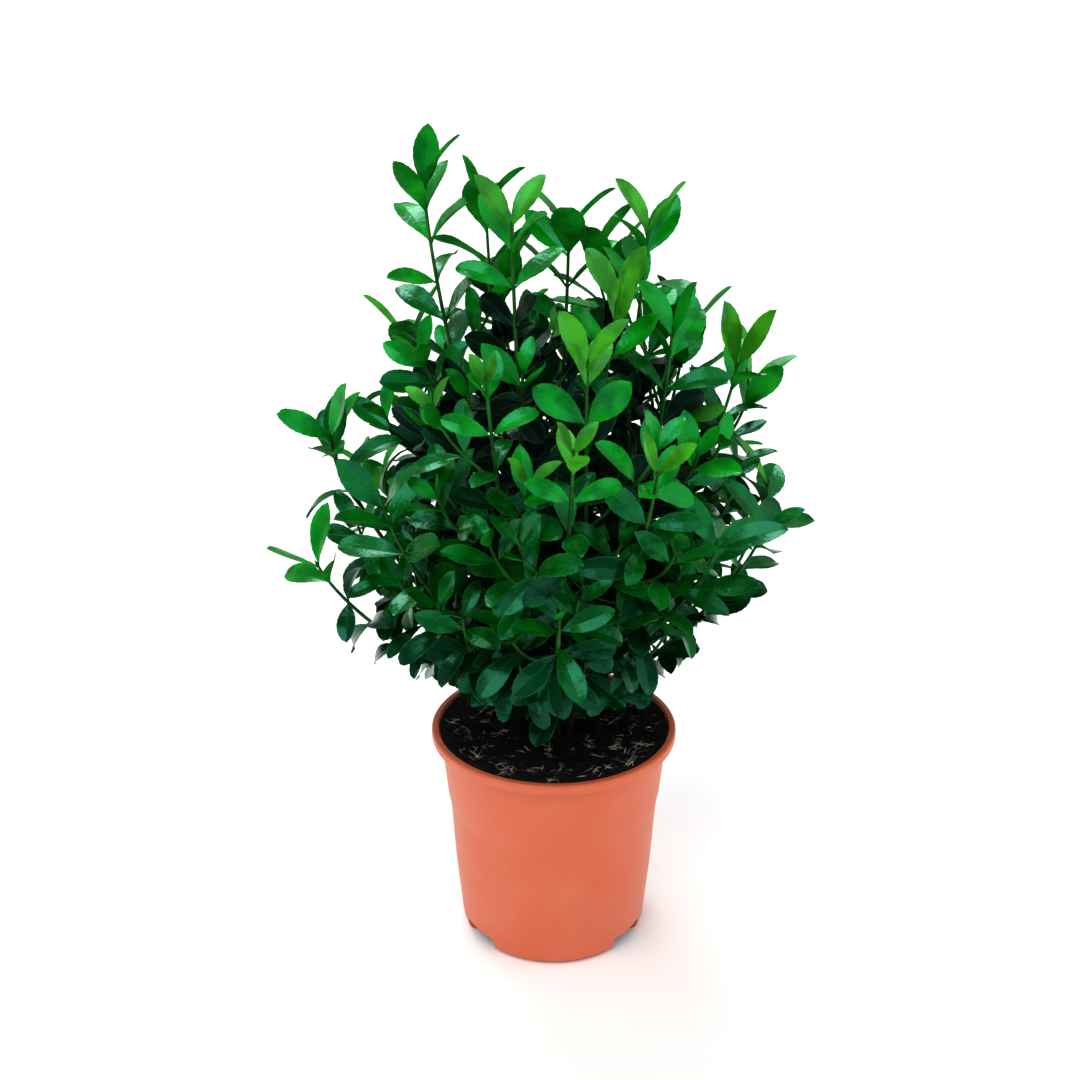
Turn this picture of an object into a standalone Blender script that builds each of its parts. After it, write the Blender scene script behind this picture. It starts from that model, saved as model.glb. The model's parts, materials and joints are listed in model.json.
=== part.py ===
"""A potted Japanese spindle (Euonymus japonicus), modelled as separate solids.

Sizes are in millimetres in this file and become metres when an object is made. The origin is
the middle of the pot's underside, +Z is up, and the side seen in the photograph faces -Y.

The pot holds a block of peat. Woody stems stand on the peat and fork into boughs. Each bough
ends where its mass of foliage begins: one main shoot that grows on from the bough's tip, with
side shoots, and pairs of opposite leaves, each pair turned a quarter from the one before.
"""

import math
import random

import bpy
import numpy as np
from mathutils import Quaternion, Vector
from mathutils.bvhtree import BVHTree

MM = 0.001
GAP = 0.3
SEED = "spindle"
UP = Vector((0.0, 0.0, 1.0))

# The pot: a 19 cm nursery pot, turned about its axis, with a rolled lip and a stepped wall
POT_HEIGHT = 176.0
POT_RIM_RADIUS = 95.0
POT_WALL = 1.7
POT_SEGMENTS = 40
LIP_HEIGHT = 8.0
LIP_ROUND = 1.3
LIP_WIDTH = 6.1
LIP_FILLET = 1.5
STEP_LAG = 1.0
COLLAR_RADIUS = 88.0
SHOULDER_RADIUS = 83.4
SHOULDER_Z = 121.0
WAIST_RADIUS = 81.4
WAIST_Z = 110.0
BARREL_RADIUS = 78.2
BARREL_Z = 58.0
BASE_RADIUS = 73.6
BASE_CORNER = 9.0
BASE_CORNER_ANGLES = (0, 32, 64, 90)

# Its underside: a raised floor with a flat pad in the middle, a foot ring, and drain notches
FLOOR_RECESS = 4.0
FLOOR_THICKNESS = 2.0
PAD_RADIUS = 14.0
RECESS_SLOPE = 3.0
FOOT_RING = 4.5
NOTCH_HEIGHT = 13.0
NOTCH_WIDTH = 27.0
NOTCH_ANGLES = (53.5, 126.5, 233.5, 306.5)
CUT_MARGIN = 0.5

# The peat, whose flat middle is the ground level that the stems are cut at
PEAT_Z = 166.0
PEAT_EDGE_RISE = 4.0
PEAT_FLAT_RADIUS = 48.0
PEAT_CLEARANCE = 0.4

# Wood and green shoots
CURVE_POINTS = 60
STEM_SIDES = 8
STEM_RINGS = ((0.0, 1.45), (3.2, 1.15), (9.0, 0.98))
STEM_BRIM = 1.9
BOUGH_SIDES = 6
BOUGH_FOOT_RADIUS = 2.5
BOUGH_TIP_RADIUS = 1.9
BOUGH_STEP = 14.0
SHOOT_SIDES = 3
SHOOT_STEP = 28.0
MAIN_RADIUS = 2.2
SIDE_RADIUS = 1.7
TIP_RADIUS = 0.9

# How limbs bend: the shares of their reach outwards and of their rise that pull on each end
FORK_SPREAD = 20.0
MAIN_LEAVE, MAIN_ARRIVE = (0.20, 0.26), (0.14, 0.34)
SIDE_LEAVE, SIDE_ARRIVE = (0.50, 0.28), (0.12, 0.40)
LATERAL_LEAVE, LATERAL_ARRIVE = (0.62, 0.18), (0.14, 0.45)
SIDE_SLOPE = 1.25
# A main limb's close points that side shoots may not leave from, at its foot and at its tip
SIDE_FIRST, SIDE_LAST = 2, 6

# Name of each stem: its foot on the peat (x, y) and the height of its fork
STEMS = {
    "stem_left": ((-27.0, -6.0), 24.0),
    "stem_centre": ((0.0, 3.0), 44.0),
    "stem_front": ((6.0, -29.0), 14.0),
    "stem_right": ((31.0, 6.0), 22.0),
    "stem_back_left": ((-14.0, 31.0), 24.0),
    "stem_back_right": ((17.0, 33.0), 19.0),
}

# Name of each mass: its stem, the share of its main limb that is bare bough, and the tips of
# the shoots that stand out of the crown, the main one first
MASSES = {
    "tall_left": ("stem_left", 0.20, ((-90, 10, 585),)),
    "upper_left": ("stem_left", 0.22, ((-165, 20, 400), (-160, -15, 415))),
    "far_left": ("stem_left", 0.18, ((-170, -45, 330),)),
    "low_left": ("stem_left", 0.12, ((-115, -90, 390),)),
    "centre_left": ("stem_centre", 0.22, ((-30, -20, 565),)),
    "centre_back": ("stem_centre", 0.24, ((10, 55, 545),)),
    "right_tall": ("stem_centre", 0.22, ((65, 30, 550), (30, 70, 525))),
    "front_left": ("stem_front", 0.10, ((-45, -110, 485), (-80, -90, 460))),
    "front_lime": ("stem_front", 0.16, ((20, -90, 490), (40, -50, 520))),
    "front_centre": ("stem_front", 0.08, ((10, -150, 450),)),
    "front_right": ("stem_front", 0.10, ((65, -120, 425),)),
    "right_middle": ("stem_right", 0.16, ((80, -20, 490), (60, 15, 505))),
    "far_right": ("stem_right", 0.20, ((130, 10, 460), (145, 40, 435))),
    "low_right": ("stem_right", 0.18, ((150, -30, 350), (160, 25, 365))),
    "right_front": ("stem_right", 0.12, ((110, -85, 360),)),
    "back_left": ("stem_back_left", 0.20, ((-50, 70, 560),)),
    "back_far_left": ("stem_back_left", 0.18, ((-110, 90, 455),)),
    "back_low_left": ("stem_back_left", 0.14, ((-140, 120, 340),)),
    "back_middle": ("stem_back_left", 0.14, ((-40, 140, 490),)),
    "back_right": ("stem_back_right", 0.16, ((45, 120, 510),)),
    "back_far_right": ("stem_back_right", 0.16, ((100, 90, 460),)),
    "back_low_right": ("stem_back_right", 0.14, ((125, 135, 350),)),
    "back_low": ("stem_back_right", 0.10, ((20, 175, 390),)),
}

# Masses whose newest leaves are still unfolding, and how large those are so far
UNFOLDING = {"front_left": 0.7, "front_lime": 0.8, "front_centre": 0.6, "front_right": 0.8}
UNFOLDING_PAIRS = 4

# Further side shoots fill the crown: where they leave the main shoot, how long they are, the
# room they need, and how far from the axis their tips may be at each height
LATERAL_PLACES = (0.0, 0.35, 0.68)
LATERAL_START = 10.0
LATERAL_END = 70.0
LATERAL_LENGTH = (58.0, 96.0)
LATERAL_SHRINK = 0.35
LATERAL_REACH = 0.72
LATERAL_RISE = 0.66
LATERAL_WAYS = 10
LATERAL_ROOM = 19.5
LIMB_CLEARANCE = 6.0
SKIRT_PLACES = (0.03, 0.14)
SKIRT_LENGTH = (48.0, 74.0)
SKIRT_LEAVE, SKIRT_ARRIVE = (0.55, 0.50), (0.30, 0.10)
SKIRT_RISE = 0.16
SKIRT_ROOM = 9.5
OUTLINE = ((205, 46), (240, 66), (290, 112), (350, 156), (410, 152), (470, 112), (540, 70))

# The crown as an eye in front of the shrub and above it sees it, in the upright plane through the
# pot's middle: a height, and how far the foliage reaches there to the left and to the right
EYE = (-10.7, -1027.0, 755.0)
EYE_TILT = math.radians(22.5)
FRONT_REACH = (
    (150, -20, 5), (175, -45, 68), (205, -88, 80), (230, -158, 105), (260, -170, 132),
    (285, -207, 160), (320, -222, 185), (340, -200, 196), (365, -178, 180), (395, -186, 165),
    (430, -206, 152), (450, -178, 172), (475, -140, 172), (512, -140, 170), (525, -118, 95),
    (590, -120, 90), (615, -116, 62), (630, -96, -60),
)

# A leaf: its size, and the shares of its length where it is widest and where its keel is
LEAF_LENGTH = 50.0
LEAF_WIDTH = 0.43
LEAF_WIDEST = 0.55
LEAF_TIP_WIDTH = 0.34
LEAF_KEEL = 0.22
LEAF_DEPTH = 1.8
LEAF_SUNK = 0.2

# Pairs of leaves from a shoot's tip down: size, climb and spacing of the first few pairs. Leading
# shoots end in full-sized leaves, side shoots in small ones
TIP_BUD = 2.5
SHOOT_BARE = 9.0
NODE_SPACING = 27.0
LEADER_SIZE = (0.90, 0.98, 1.0, 1.0)
SIDE_SIZE = (0.70, 0.90, 1.0, 1.0)
PAIR_CLIMB = (2.0, 1.35, 1.1)
PAIR_SPACING = (0.45, 0.75, 0.9, 1.0)
SIZE_SPREAD = 0.07
SPACING_SPREAD = 0.08
TURN_SPREAD = 0.2
CLIMB_SPREAD = 0.18
ROLL_SPREAD = 0.3
START_WAYS = 8
PAIR_SPREAD = 2.0

# Leaves high on the shrub climb. Older and lower ones spread level, and the lowest hang
CLIMB_Z = (290.0, 450.0)
CLIMB_LOW = 0.3
CLIMB_NEW = 0.4
LEVEL_DROOP = 0.3
AGE_LENGTH = 190.0
AGE_CLIMB = 0.4
AGE_DROOP = 0.15
LOW_DROOP = 0.8
LOW_Z = 275.0
LOW_RANGE = 70.0
GROWN_LENGTH = 60.0
GROWN_OUTWARD = 0.35
GROWN_FACING = 0.7
LIGHT_UP = 0.8
LIGHT_OUTWARD = 0.4

# A leaf that would leave its mass's space or the outline, or touch anything, is tried again
# shorter or swung aside, and is then left out: each try is a share of its length and a swing
LEAF_TRIES = ((1.0, 0.0), (0.86, 0.0), (0.86, 0.35), (0.86, -0.35), (0.72, 0.2), (0.62, -0.2))
LEAF_FLOOR = 178.0
CELL_MARGIN = 0.8
STALK = 4.0
SWELL = 0.5


def material(name, colour, roughness):
    made = bpy.data.materials.new(name)
    made.use_nodes = True
    shader = made.node_tree.nodes["Principled BSDF"]
    shader.inputs["Base Color"].default_value = (*colour, 1.0)
    shader.inputs["Roughness"].default_value = roughness
    shader.inputs["Metallic"].default_value = 0.0
    return made


def add_object(name, vertices, faces, finish=None):
    mesh = bpy.data.meshes.new(name)
    mesh.from_pydata([Vector(v) * MM for v in vertices], [], faces)
    made = bpy.data.objects.new(name, mesh)
    bpy.context.scene.collection.objects.link(made)
    if finish:
        mesh.materials.append(finish)
    return made


def boolean(target, operation, cutter=None, group=None):
    """Applies one Boolean to target and removes what it was made with."""
    step = target.modifiers.new("join", "BOOLEAN")
    step.operation = operation
    step.solver = "EXACT"
    if group:
        step.operand_type = "COLLECTION"
        step.collection = group
    else:
        step.object = cutter
    graph = bpy.context.evaluated_depsgraph_get()
    result = bpy.data.meshes.new_from_object(target.evaluated_get(graph))
    target.modifiers.clear()
    old = target.data
    target.data = result
    result.name = target.name
    bpy.data.meshes.remove(old)
    for piece in list(group.objects) if group else [cutter]:
        bpy.data.objects.remove(piece)
    if group:
        bpy.data.collections.remove(group)


def turned(profile, segments):
    """A closed turned body: its profile runs up the outside, from axis point to axis point."""
    vertices = [(0.0, 0.0, profile[0][1])]
    for radius, z in profile[1:-1]:
        for i in range(segments):
            angle = 2 * math.pi * i / segments
            vertices.append((radius * math.cos(angle), radius * math.sin(angle), z))
    vertices.append((0.0, 0.0, profile[-1][1]))
    last = len(vertices) - 1
    rings = len(profile) - 2
    top = 1 + (rings - 1) * segments
    faces = []
    for i in range(segments):
        j = (i + 1) % segments
        faces.append((0, 1 + j, 1 + i))
        faces.append((last, top + i, top + j))
        for k in range(rings - 1):
            a = 1 + k * segments
            b = a + segments
            faces.append((a + i, a + j, b + j, b + i))
    return vertices, faces


def inner_wall():
    """The pot's inside as radius and height, from the floor's edge up to the rim."""
    floor = FLOOR_RECESS + FLOOR_THICKNESS
    foot = BASE_RADIUS - POT_WALL
    return [
        (foot - BASE_CORNER / 2, floor),
        (foot + POT_WALL / 2, floor + BASE_CORNER),
        (WAIST_RADIUS - POT_WALL, WAIST_Z + STEP_LAG),
        (SHOULDER_RADIUS - POT_WALL, SHOULDER_Z + STEP_LAG),
        (COLLAR_RADIUS - POT_WALL, POT_HEIGHT - LIP_HEIGHT - LIP_FILLET - STEP_LAG),
        (POT_RIM_RADIUS - LIP_WIDTH, POT_HEIGHT - LIP_ROUND),
    ]


def foot_inside():
    return BASE_RADIUS - BASE_CORNER - FOOT_RING


def make_pot(plastic):
    lip_foot = POT_HEIGHT - LIP_HEIGHT
    profile = [
        (0.0, 0.0),
        (PAD_RADIUS, 0.0),
        (PAD_RADIUS + RECESS_SLOPE, FLOOR_RECESS),
        (foot_inside() - RECESS_SLOPE, FLOOR_RECESS),
        (foot_inside(), 0.0),
    ]
    for angle in BASE_CORNER_ANGLES:
        swing = math.radians(angle)
        reach = BASE_RADIUS - BASE_CORNER + BASE_CORNER * math.sin(swing)
        profile.append((reach, BASE_CORNER * (1 - math.cos(swing))))
    profile += [
        (BARREL_RADIUS, BARREL_Z),
        (WAIST_RADIUS, WAIST_Z),
        (SHOULDER_RADIUS, SHOULDER_Z),
        (COLLAR_RADIUS, lip_foot - LIP_FILLET),
        (POT_RIM_RADIUS - LIP_ROUND / 2, lip_foot),
        (POT_RIM_RADIUS, lip_foot + LIP_ROUND),
        (POT_RIM_RADIUS, POT_HEIGHT - LIP_ROUND),
        (POT_RIM_RADIUS - LIP_ROUND, POT_HEIGHT),
        (POT_RIM_RADIUS - LIP_WIDTH + LIP_ROUND, POT_HEIGHT),
    ]
    profile += reversed(inner_wall())
    profile.append((0.0, FLOOR_RECESS + FLOOR_THICKNESS))
    pot = add_object("pot", *turned(profile, POT_SEGMENTS), plastic)
    for middle in NOTCH_ANGLES:
        boolean(pot, "DIFFERENCE", cutter=notch_cutter(middle))


def notch_cutter(middle):
    """A wedge that takes one drain notch out of the foot ring and the wall's bottom edge."""
    inner = foot_inside() - RECESS_SLOPE - CUT_MARGIN
    outer = BASE_RADIUS + BASE_CORNER
    corners = []
    for z in (-RECESS_SLOPE, NOTCH_HEIGHT):
        for radius, share in ((inner, -0.5), (outer, -0.5), (outer, 0.5), (inner, 0.5)):
            angle = math.radians(middle - 90 + share * NOTCH_WIDTH)
            corners.append((radius * math.cos(angle), radius * math.sin(angle), z))
    faces = [(3, 2, 1, 0), (4, 5, 6, 7)]
    faces += [(i, (i + 1) % 4, 4 + (i + 1) % 4, 4 + i) for i in range(4)]
    return add_object("notch", corners, faces)


def make_peat(earth):
    """The peat block: the pot's inside, clear of its wall, up to a top that is flat in the middle
    and pressed up against the wall."""
    wall = [(radius - PEAT_CLEARANCE, z) for radius, z in inner_wall()]
    edge_z = PEAT_Z + PEAT_EDGE_RISE
    (low_radius, low_z), (high_radius, high_z) = wall[-2:]
    edge_radius = low_radius + (high_radius - low_radius) * (edge_z - low_z) / (high_z - low_z)
    profile = [(0.0, wall[0][1] + GAP)]
    profile += [(radius, z + GAP) for radius, z in wall[:-1]]
    profile += [(edge_radius, edge_z), (PEAT_FLAT_RADIUS, PEAT_Z), (0.0, PEAT_Z)]
    add_object("peat", *turned(profile, POT_SEGMENTS), earth)


def tube(points, radii, sides, first_axis=None, last_axis=None):
    """A tapering limb along points, with flat ends square to the axes given for them."""
    vertices = []
    side = Vector((1.0, 0.0, 0.0))
    for i, point in enumerate(points):
        axis = (points[min(i + 1, len(points) - 1)] - points[max(i - 1, 0)]).normalized()
        if i == 0 and first_axis:
            axis = first_axis
        if i == len(points) - 1 and last_axis:
            axis = last_axis
        side = (side - axis * side.dot(axis)).normalized()
        across = axis.cross(side)
        for k in range(sides):
            angle = 2 * math.pi * k / sides
            spoke = side * math.cos(angle) + across * math.sin(angle)
            vertices.append(point + spoke * radii[i])
    last = (len(points) - 1) * sides
    faces = [tuple(reversed(range(sides))), tuple(range(last, last + sides))]
    for i in range(len(points) - 1):
        for k in range(sides):
            a = i * sides + k
            b = i * sides + (k + 1) % sides
            faces.append((a, b, b + sides, a + sides))
    return vertices, faces


def taper(first, last, count):
    return [first + (last - first) * i / (count - 1) for i in range(count)]


def bent(foot, tip, leave, arrive, push=Vector()):
    """Close points on a limb's curve from foot to tip, pulled at each end as its shares say."""
    reach = Vector((tip.x - foot.x, tip.y - foot.y, 0.0))
    rise = UP * (tip.z - foot.z)
    after = foot + push + reach * leave[0] + rise * leave[1]
    before = tip - reach * arrive[0] - rise * arrive[1]
    points = []
    for i in range(CURVE_POINTS + 1):
        t = i / CURVE_POINTS
        s = 1 - t
        start = foot * s ** 3 + after * (3 * s * s * t)
        points.append(start + before * (3 * s * t * t) + tip * t ** 3)
    return points


def path_length(points):
    return sum((b - a).length for a, b in zip(points, points[1:]))


def along_path(points, distance):
    """The point that far along a path, and the way the path runs there."""
    for a, b in zip(points, points[1:]):
        length = (b - a).length
        if distance <= length:
            return a.lerp(b, distance / length), (b - a).normalized()
        distance -= length
    return points[-1].copy(), (points[-1] - points[-2]).normalized()


def stretch(points, start, end, step):
    """The part of a path between two distances along it, in even steps."""
    steps = max(1, round((end - start) / step))
    return [along_path(points, start + (end - start) * i / steps)[0] for i in range(steps + 1)]


def closer(points):
    """The same path with two more points between each pair, for measuring distances."""
    rows = [a.lerp(b, k / 3) for a, b in zip(points, points[1:]) for k in range(3)]
    return rows + [points[-1]]


def rows_of(points):
    return np.array([tuple(p) for p in points])


def distances(rows, others):
    """The distance from each row to the nearest of the others."""
    return np.sqrt(((rows[:, None] - others[None]) ** 2).sum(-1)).min(1)


def fork(stem):
    """Where each of a stem's boughs starts, on a ring turned to face their tips, and its radius."""
    (x, y), height = STEMS[stem]
    aims = {}
    for name, (base, _, tips) in MASSES.items():
        if base == stem:
            aims[name] = math.atan2(tips[0][1] - y, tips[0][0] - x)
    names = sorted(aims, key=aims.get)
    step = 2 * math.pi / len(names)
    drift = [aims[name] - step * i for i, name in enumerate(names)]
    turn = math.atan2(sum(map(math.sin, drift)), sum(map(math.cos, drift)))
    ring = (BOUGH_FOOT_RADIUS + GAP) / math.sin(step / 2)
    centre = Vector((x, y, PEAT_Z + 2 * GAP + height))
    places = {}
    for i, name in enumerate(names):
        outward = Vector((math.cos(turn + step * i), math.sin(turn + step * i), 0.0))
        places[name] = (centre + outward * ring, outward)
    return places, ring


def side_path(main, tip):
    """A side shoot that leaves the main one low enough to climb as steeply as side shoots do."""
    def unfitness(root):
        reach = math.hypot(tip.x - root.x, tip.y - root.y)
        return abs(tip.z - root.z - SIDE_SLOPE * reach)

    root = min(closer(main)[SIDE_FIRST:-SIDE_LAST], key=unfitness)
    path = bent(root, tip, SIDE_LEAVE, SIDE_ARRIVE)
    return stretch(path, 0.0, path_length(path), SHOOT_STEP)


def open_side(rng, main, place, taken, strange, lengths, reach, rise, bends, least):
    """A side shoot towards the most open side, or nothing where it would be crowded. It keeps
    its whole length clear of the limbs of the other masses."""
    root, _ = along_path(main, LATERAL_START + place * (path_length(main) - LATERAL_END))
    length = rng.uniform(*lengths) * (1.0 - LATERAL_SHRINK * place)
    turn = rng.uniform(0, 2 * math.pi)
    heights, radii = zip(*OUTLINE)
    best, most = None, least
    for i in range(LATERAL_WAYS):
        angle = turn + 2 * math.pi * i / LATERAL_WAYS
        away = Vector((math.cos(angle), math.sin(angle), 0.0))
        tip = root + (away * reach + UP * rise) * length
        if math.hypot(tip.x, tip.y) > np.interp(tip.z, heights, radii):
            continue
        path = bent(root, tip, *bends)
        path = stretch(path, 0.0, path_length(path), SHOOT_STEP)
        room = distances(rows_of(closer(path)[len(path):]), taken).min()
        if room > most and distances(rows_of(closer(path)), strange).min() > LIMB_CLEARANCE:
            best, most = path, room
    return best


def side_rounds():
    """Every round of side shoots: its place on the main shoot and how those shoots grow."""
    for place in LATERAL_PLACES:
        yield (place, LATERAL_LENGTH, LATERAL_REACH, LATERAL_RISE,
               (LATERAL_LEAVE, LATERAL_ARRIVE), LATERAL_ROOM)
    for place in SKIRT_PLACES:
        yield (place, SKIRT_LENGTH, 1.0, SKIRT_RISE, (SKIRT_LEAVE, SKIRT_ARRIVE), SKIRT_ROOM)


def grow_limbs():
    """Each mass's bough and shoots as lists of points, before any leaf is placed."""
    crown = {}
    for stem in STEMS:
        places, _ = fork(stem)
        for name, (place, outward) in places.items():
            _, bare, tips = MASSES[name]
            push = outward * FORK_SPREAD
            path = bent(place, Vector(tips[0]), MAIN_LEAVE, MAIN_ARRIVE, push)
            whole = path_length(path)
            bough = stretch(path, 0.0, bare * whole, BOUGH_STEP)
            main = stretch(path, bare * whole, whole, SHOOT_STEP)
            sides = [side_path(main, Vector(tip)) for tip in tips[1:]]
            joint = (main[1] - bough[-2]).normalized()
            crown[name] = {"bough": bough, "shoots": [main] + sides, "joint": joint}
    for place, lengths, reach, rise, bends, least in side_rounds():
        for name in MASSES:
            limbs = {owner: [mass["bough"]] + mass["shoots"] for owner, mass in crown.items()}
            strange = rows_of(point for owner, paths in limbs.items() if owner != name
                              for path in paths for point in closer(path))
            own = rows_of(point for path in limbs[name] for point in closer(path))
            taken = np.concatenate((own, strange))
            rng = random.Random(f"{SEED} {name} {place}")
            made = open_side(rng, crown[name]["shoots"][0], place, taken, strange, lengths, reach,
                             rise, bends, least)
            if made:
                crown[name]["shoots"].append(made)
    return crown


def shoot_radii(number, count):
    """A shoot's radius at each of its points: number 0 is the mass's main shoot."""
    return taper(SIDE_RADIUS if number else MAIN_RADIUS, TIP_RADIUS, count)


def leaf_solid(root, along, face, length, swell=0.0):
    """A blunt five-cornered blade, flat above, with a keel below that thickens its stalk."""
    across = along.cross(face)
    half = length * LEAF_WIDTH / 2 + swell
    blunt = half * LEAF_TIP_WIDTH
    top = root + face * swell
    wide = top + along * (length * LEAF_WIDEST)
    tip = top + along * (length + swell)
    keel = root + along * (length * LEAF_KEEL) - face * (LEAF_DEPTH + swell)
    vertices = [top, wide - across * half, tip - across * blunt]
    vertices += [tip + across * blunt, wide + across * half, keel]
    faces = [(0, 1, 2, 3, 4), (5, 1, 0), (5, 2, 1), (5, 3, 2), (5, 4, 3), (5, 0, 4)]
    return vertices, faces


def from_front(rows):
    """Where points seem to stand in the upright plane through the pot's middle, for an eye in
    front of the shrub and above it: across and up."""
    eye_x, eye_y, eye_z = EYE
    level, slope = math.cos(EYE_TILT), math.sin(EYE_TILT)
    depth = (rows[:, 1] - eye_y) * level - (rows[:, 2] - eye_z) * slope
    rise = ((rows[:, 1] - eye_y) * slope + (rows[:, 2] - eye_z) * level) / depth
    up = eye_y * (slope - rise * level) / (level + rise * slope)
    across = (rows[:, 0] - eye_x) / depth * (-eye_y * level - up * slope)
    return np.stack((across + eye_x, up + eye_z), 1)


def within_reach(rows):
    """Whether each point falls within the crown's reach as seen from the front."""
    x, z = from_front(rows).T
    heights, left, right = zip(*FRONT_REACH)
    across = (x > np.interp(z, heights, left)) & (x < np.interp(z, heights, right))
    return across & (z > heights[0]) & (z < heights[-1])


def best_start(seed, points, name, number):
    """The turn of a shoot's first pair that keeps most leaves within the crown's reach. A leading
    shoot also spreads its newest pair to either side as seen from the front."""
    spread = PAIR_SPREAD if number < len(MASSES[name][2]) else 0.0

    def fitness(start):
        found = shoot_leaves(random.Random(seed), points, name, number, start)
        ends = rows_of(node + along * length for node, _, along, _, length in found)
        apart = np.ptp(from_front(ends[:2])[:, 0]) / LEAF_LENGTH
        return within_reach(ends).sum() + spread * apart

    first = random.Random(seed + " start").uniform(0, math.pi)
    return max((first + math.pi * i / START_WAYS for i in range(START_WAYS)), key=fitness)


def shoot_leaves(rng, points, name, number, start):
    """Each leaf of a shoot as node, side, direction, blade normal and length, from the tip down."""
    total = path_length(points)
    leads = number < len(MASSES[name][2])
    young = UNFOLDING.get(name, 1.0) if leads else 1.0
    sizes = LEADER_SIZE if leads else SIDE_SIZE
    side = Vector((math.cos(start), math.sin(start), 0.0))
    back = TIP_BUD
    pair = 0
    while total - back > (SHOOT_BARE if pair else 0.0):
        node, axis = along_path(points, total - back)
        side = (side - axis * side.dot(axis)).normalized()
        turn = Quaternion(axis, pair * math.pi / 2 + rng.uniform(-TURN_SPREAD, TURN_SPREAD))
        size = sizes[min(pair, 3)] * rng.uniform(1 - SIZE_SPREAD, 1 + SIZE_SPREAD)
        size *= young + (1.0 - young) * min(pair / UNFOLDING_PAIRS, 1.0)
        age = min(1.0, back / AGE_LENGTH)
        grown = min(1.0, back / GROWN_LENGTH)
        low = min(max((LOW_Z - node.z) / LOW_RANGE, 0.0), 1.0)
        high = float(np.interp(node.z, CLIMB_Z, (0.0, 1.0)))
        radial = Vector((node.x, node.y, 0.0)).normalized()
        light = radial * LIGHT_OUTWARD + UP * LIGHT_UP
        for sign in (1, -1):
            out = turn @ side * sign
            climb = PAIR_CLIMB[min(pair, 2)] - AGE_CLIMB * age
            climb *= CLIMB_LOW + (1.0 - CLIMB_LOW) * max(high, CLIMB_NEW * (1.0 - grown))
            climb += rng.uniform(-CLIMB_SPREAD, CLIMB_SPREAD)
            spread = (out + radial * (GROWN_OUTWARD * grown)).normalized()
            droop = AGE_DROOP * age + LEVEL_DROOP * (1.0 - high) * grown + LOW_DROOP * low
            along = (spread + axis * climb - UP * droop).normalized()
            face = axis * (1.0 - GROWN_FACING * grown) + light * grown
            face = (face - along * face.dot(along)).normalized()
            roll = Quaternion(along, rng.uniform(-ROLL_SPREAD, ROLL_SPREAD))
            yield node, out, along, roll @ face, LEAF_LENGTH * size
        spacing = rng.uniform(1 - SPACING_SPREAD, 1 + SPACING_SPREAD)
        back += NODE_SPACING * PAIR_SPACING[min(pair, 3)] * spacing
        pair += 1


class Room:
    """What is already in place, for telling whether a new leaf touches it."""

    def __init__(self):
        self.pieces = []

    def measure(self, vertices):
        centre = sum(vertices, Vector()) / len(vertices)
        return centre, max((v - centre).length for v in vertices)

    def add(self, vertices, faces, owner=None):
        tree = BVHTree.FromPolygons(vertices, faces)
        self.pieces.append((*self.measure(vertices), tree, owner))

    def touches(self, vertices, faces, owner):
        centre, reach = self.measure(vertices)
        tree = BVHTree.FromPolygons(vertices, faces)
        for other, far, other_tree, other_owner in self.pieces:
            if other_owner == owner or (other - centre).length > reach + far:
                continue
            if tree.overlap(other_tree):
                return True
        return False


def fitted_leaf(leaf, owner, mine, foreign, room):
    """The first try at a leaf that stays in its mass's space and touches nothing, or nothing."""
    node, out, along, face, length = leaf
    root = node - out * LEAF_SUNK
    for share, swing in LEAF_TRIES:
        ahead = Quaternion(face, swing) @ along
        vertices, faces = leaf_solid(root, ahead, face, length * share)
        blade = rows_of(vertices[1:5])
        sight = rows_of(((vertices[1] + vertices[4]) / 2, (vertices[2] + vertices[3]) / 2))
        if blade[:, 2].min() < LEAF_FLOOR or not within_reach(sight).all():
            continue
        if (distances(blade, mine) + CELL_MARGIN > distances(blade, foreign)).any():
            continue
        blade_only = leaf_solid(root + ahead * STALK, ahead, face, length * share - STALK, SWELL)
        if not room.touches(*blade_only, owner):
            return vertices, faces
    return None


def place_leaves(crown, room):
    """Leaves for every shoot. A mass's space is all that is nearer its limbs than any others."""
    axes, owners = [], []
    for name, mass in crown.items():
        for path in [mass["bough"]] + mass["shoots"]:
            axes += closer(path)
            owners += [name] * len(closer(path))
    axes = rows_of(axes)
    owners = np.array(owners)
    placed = {name: [] for name in crown}
    for name, mass in crown.items():
        mine, foreign = axes[owners == name], axes[owners != name]
        for number, path in enumerate(mass["shoots"]):
            seed = f"{SEED} {name} {number} pairs"
            start = best_start(seed, path, name, number)
            for leaf in shoot_leaves(random.Random(seed), path, name, number, start):
                made = fitted_leaf(leaf, (name, number), mine, foreign, room)
                if made:
                    room.add(*made)
                    placed[name].append(made)
    return placed


def make_stems(wood, room):
    for stem, ((x, y), height) in STEMS.items():
        _, ring = fork(stem)
        top = ring + STEM_BRIM
        rings = STEM_RINGS + ((height, 1.0),)
        points = [Vector((x, y, PEAT_Z + GAP + level)) for level, _ in rings]
        radii = [top * share for _, share in rings]
        shape = tube(points, radii, STEM_SIDES, UP, UP)
        add_object(stem, *shape, wood)
        room.add(*shape)


def make_boughs(crown, wood, room):
    for name, mass in crown.items():
        bough = mass["bough"]
        radii = taper(BOUGH_FOOT_RADIUS, BOUGH_TIP_RADIUS, len(bough))
        shape = tube(bough, radii, BOUGH_SIDES, UP, mass["joint"])
        add_object("bough_" + name, *shape, wood)
        room.add(*shape)


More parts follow.
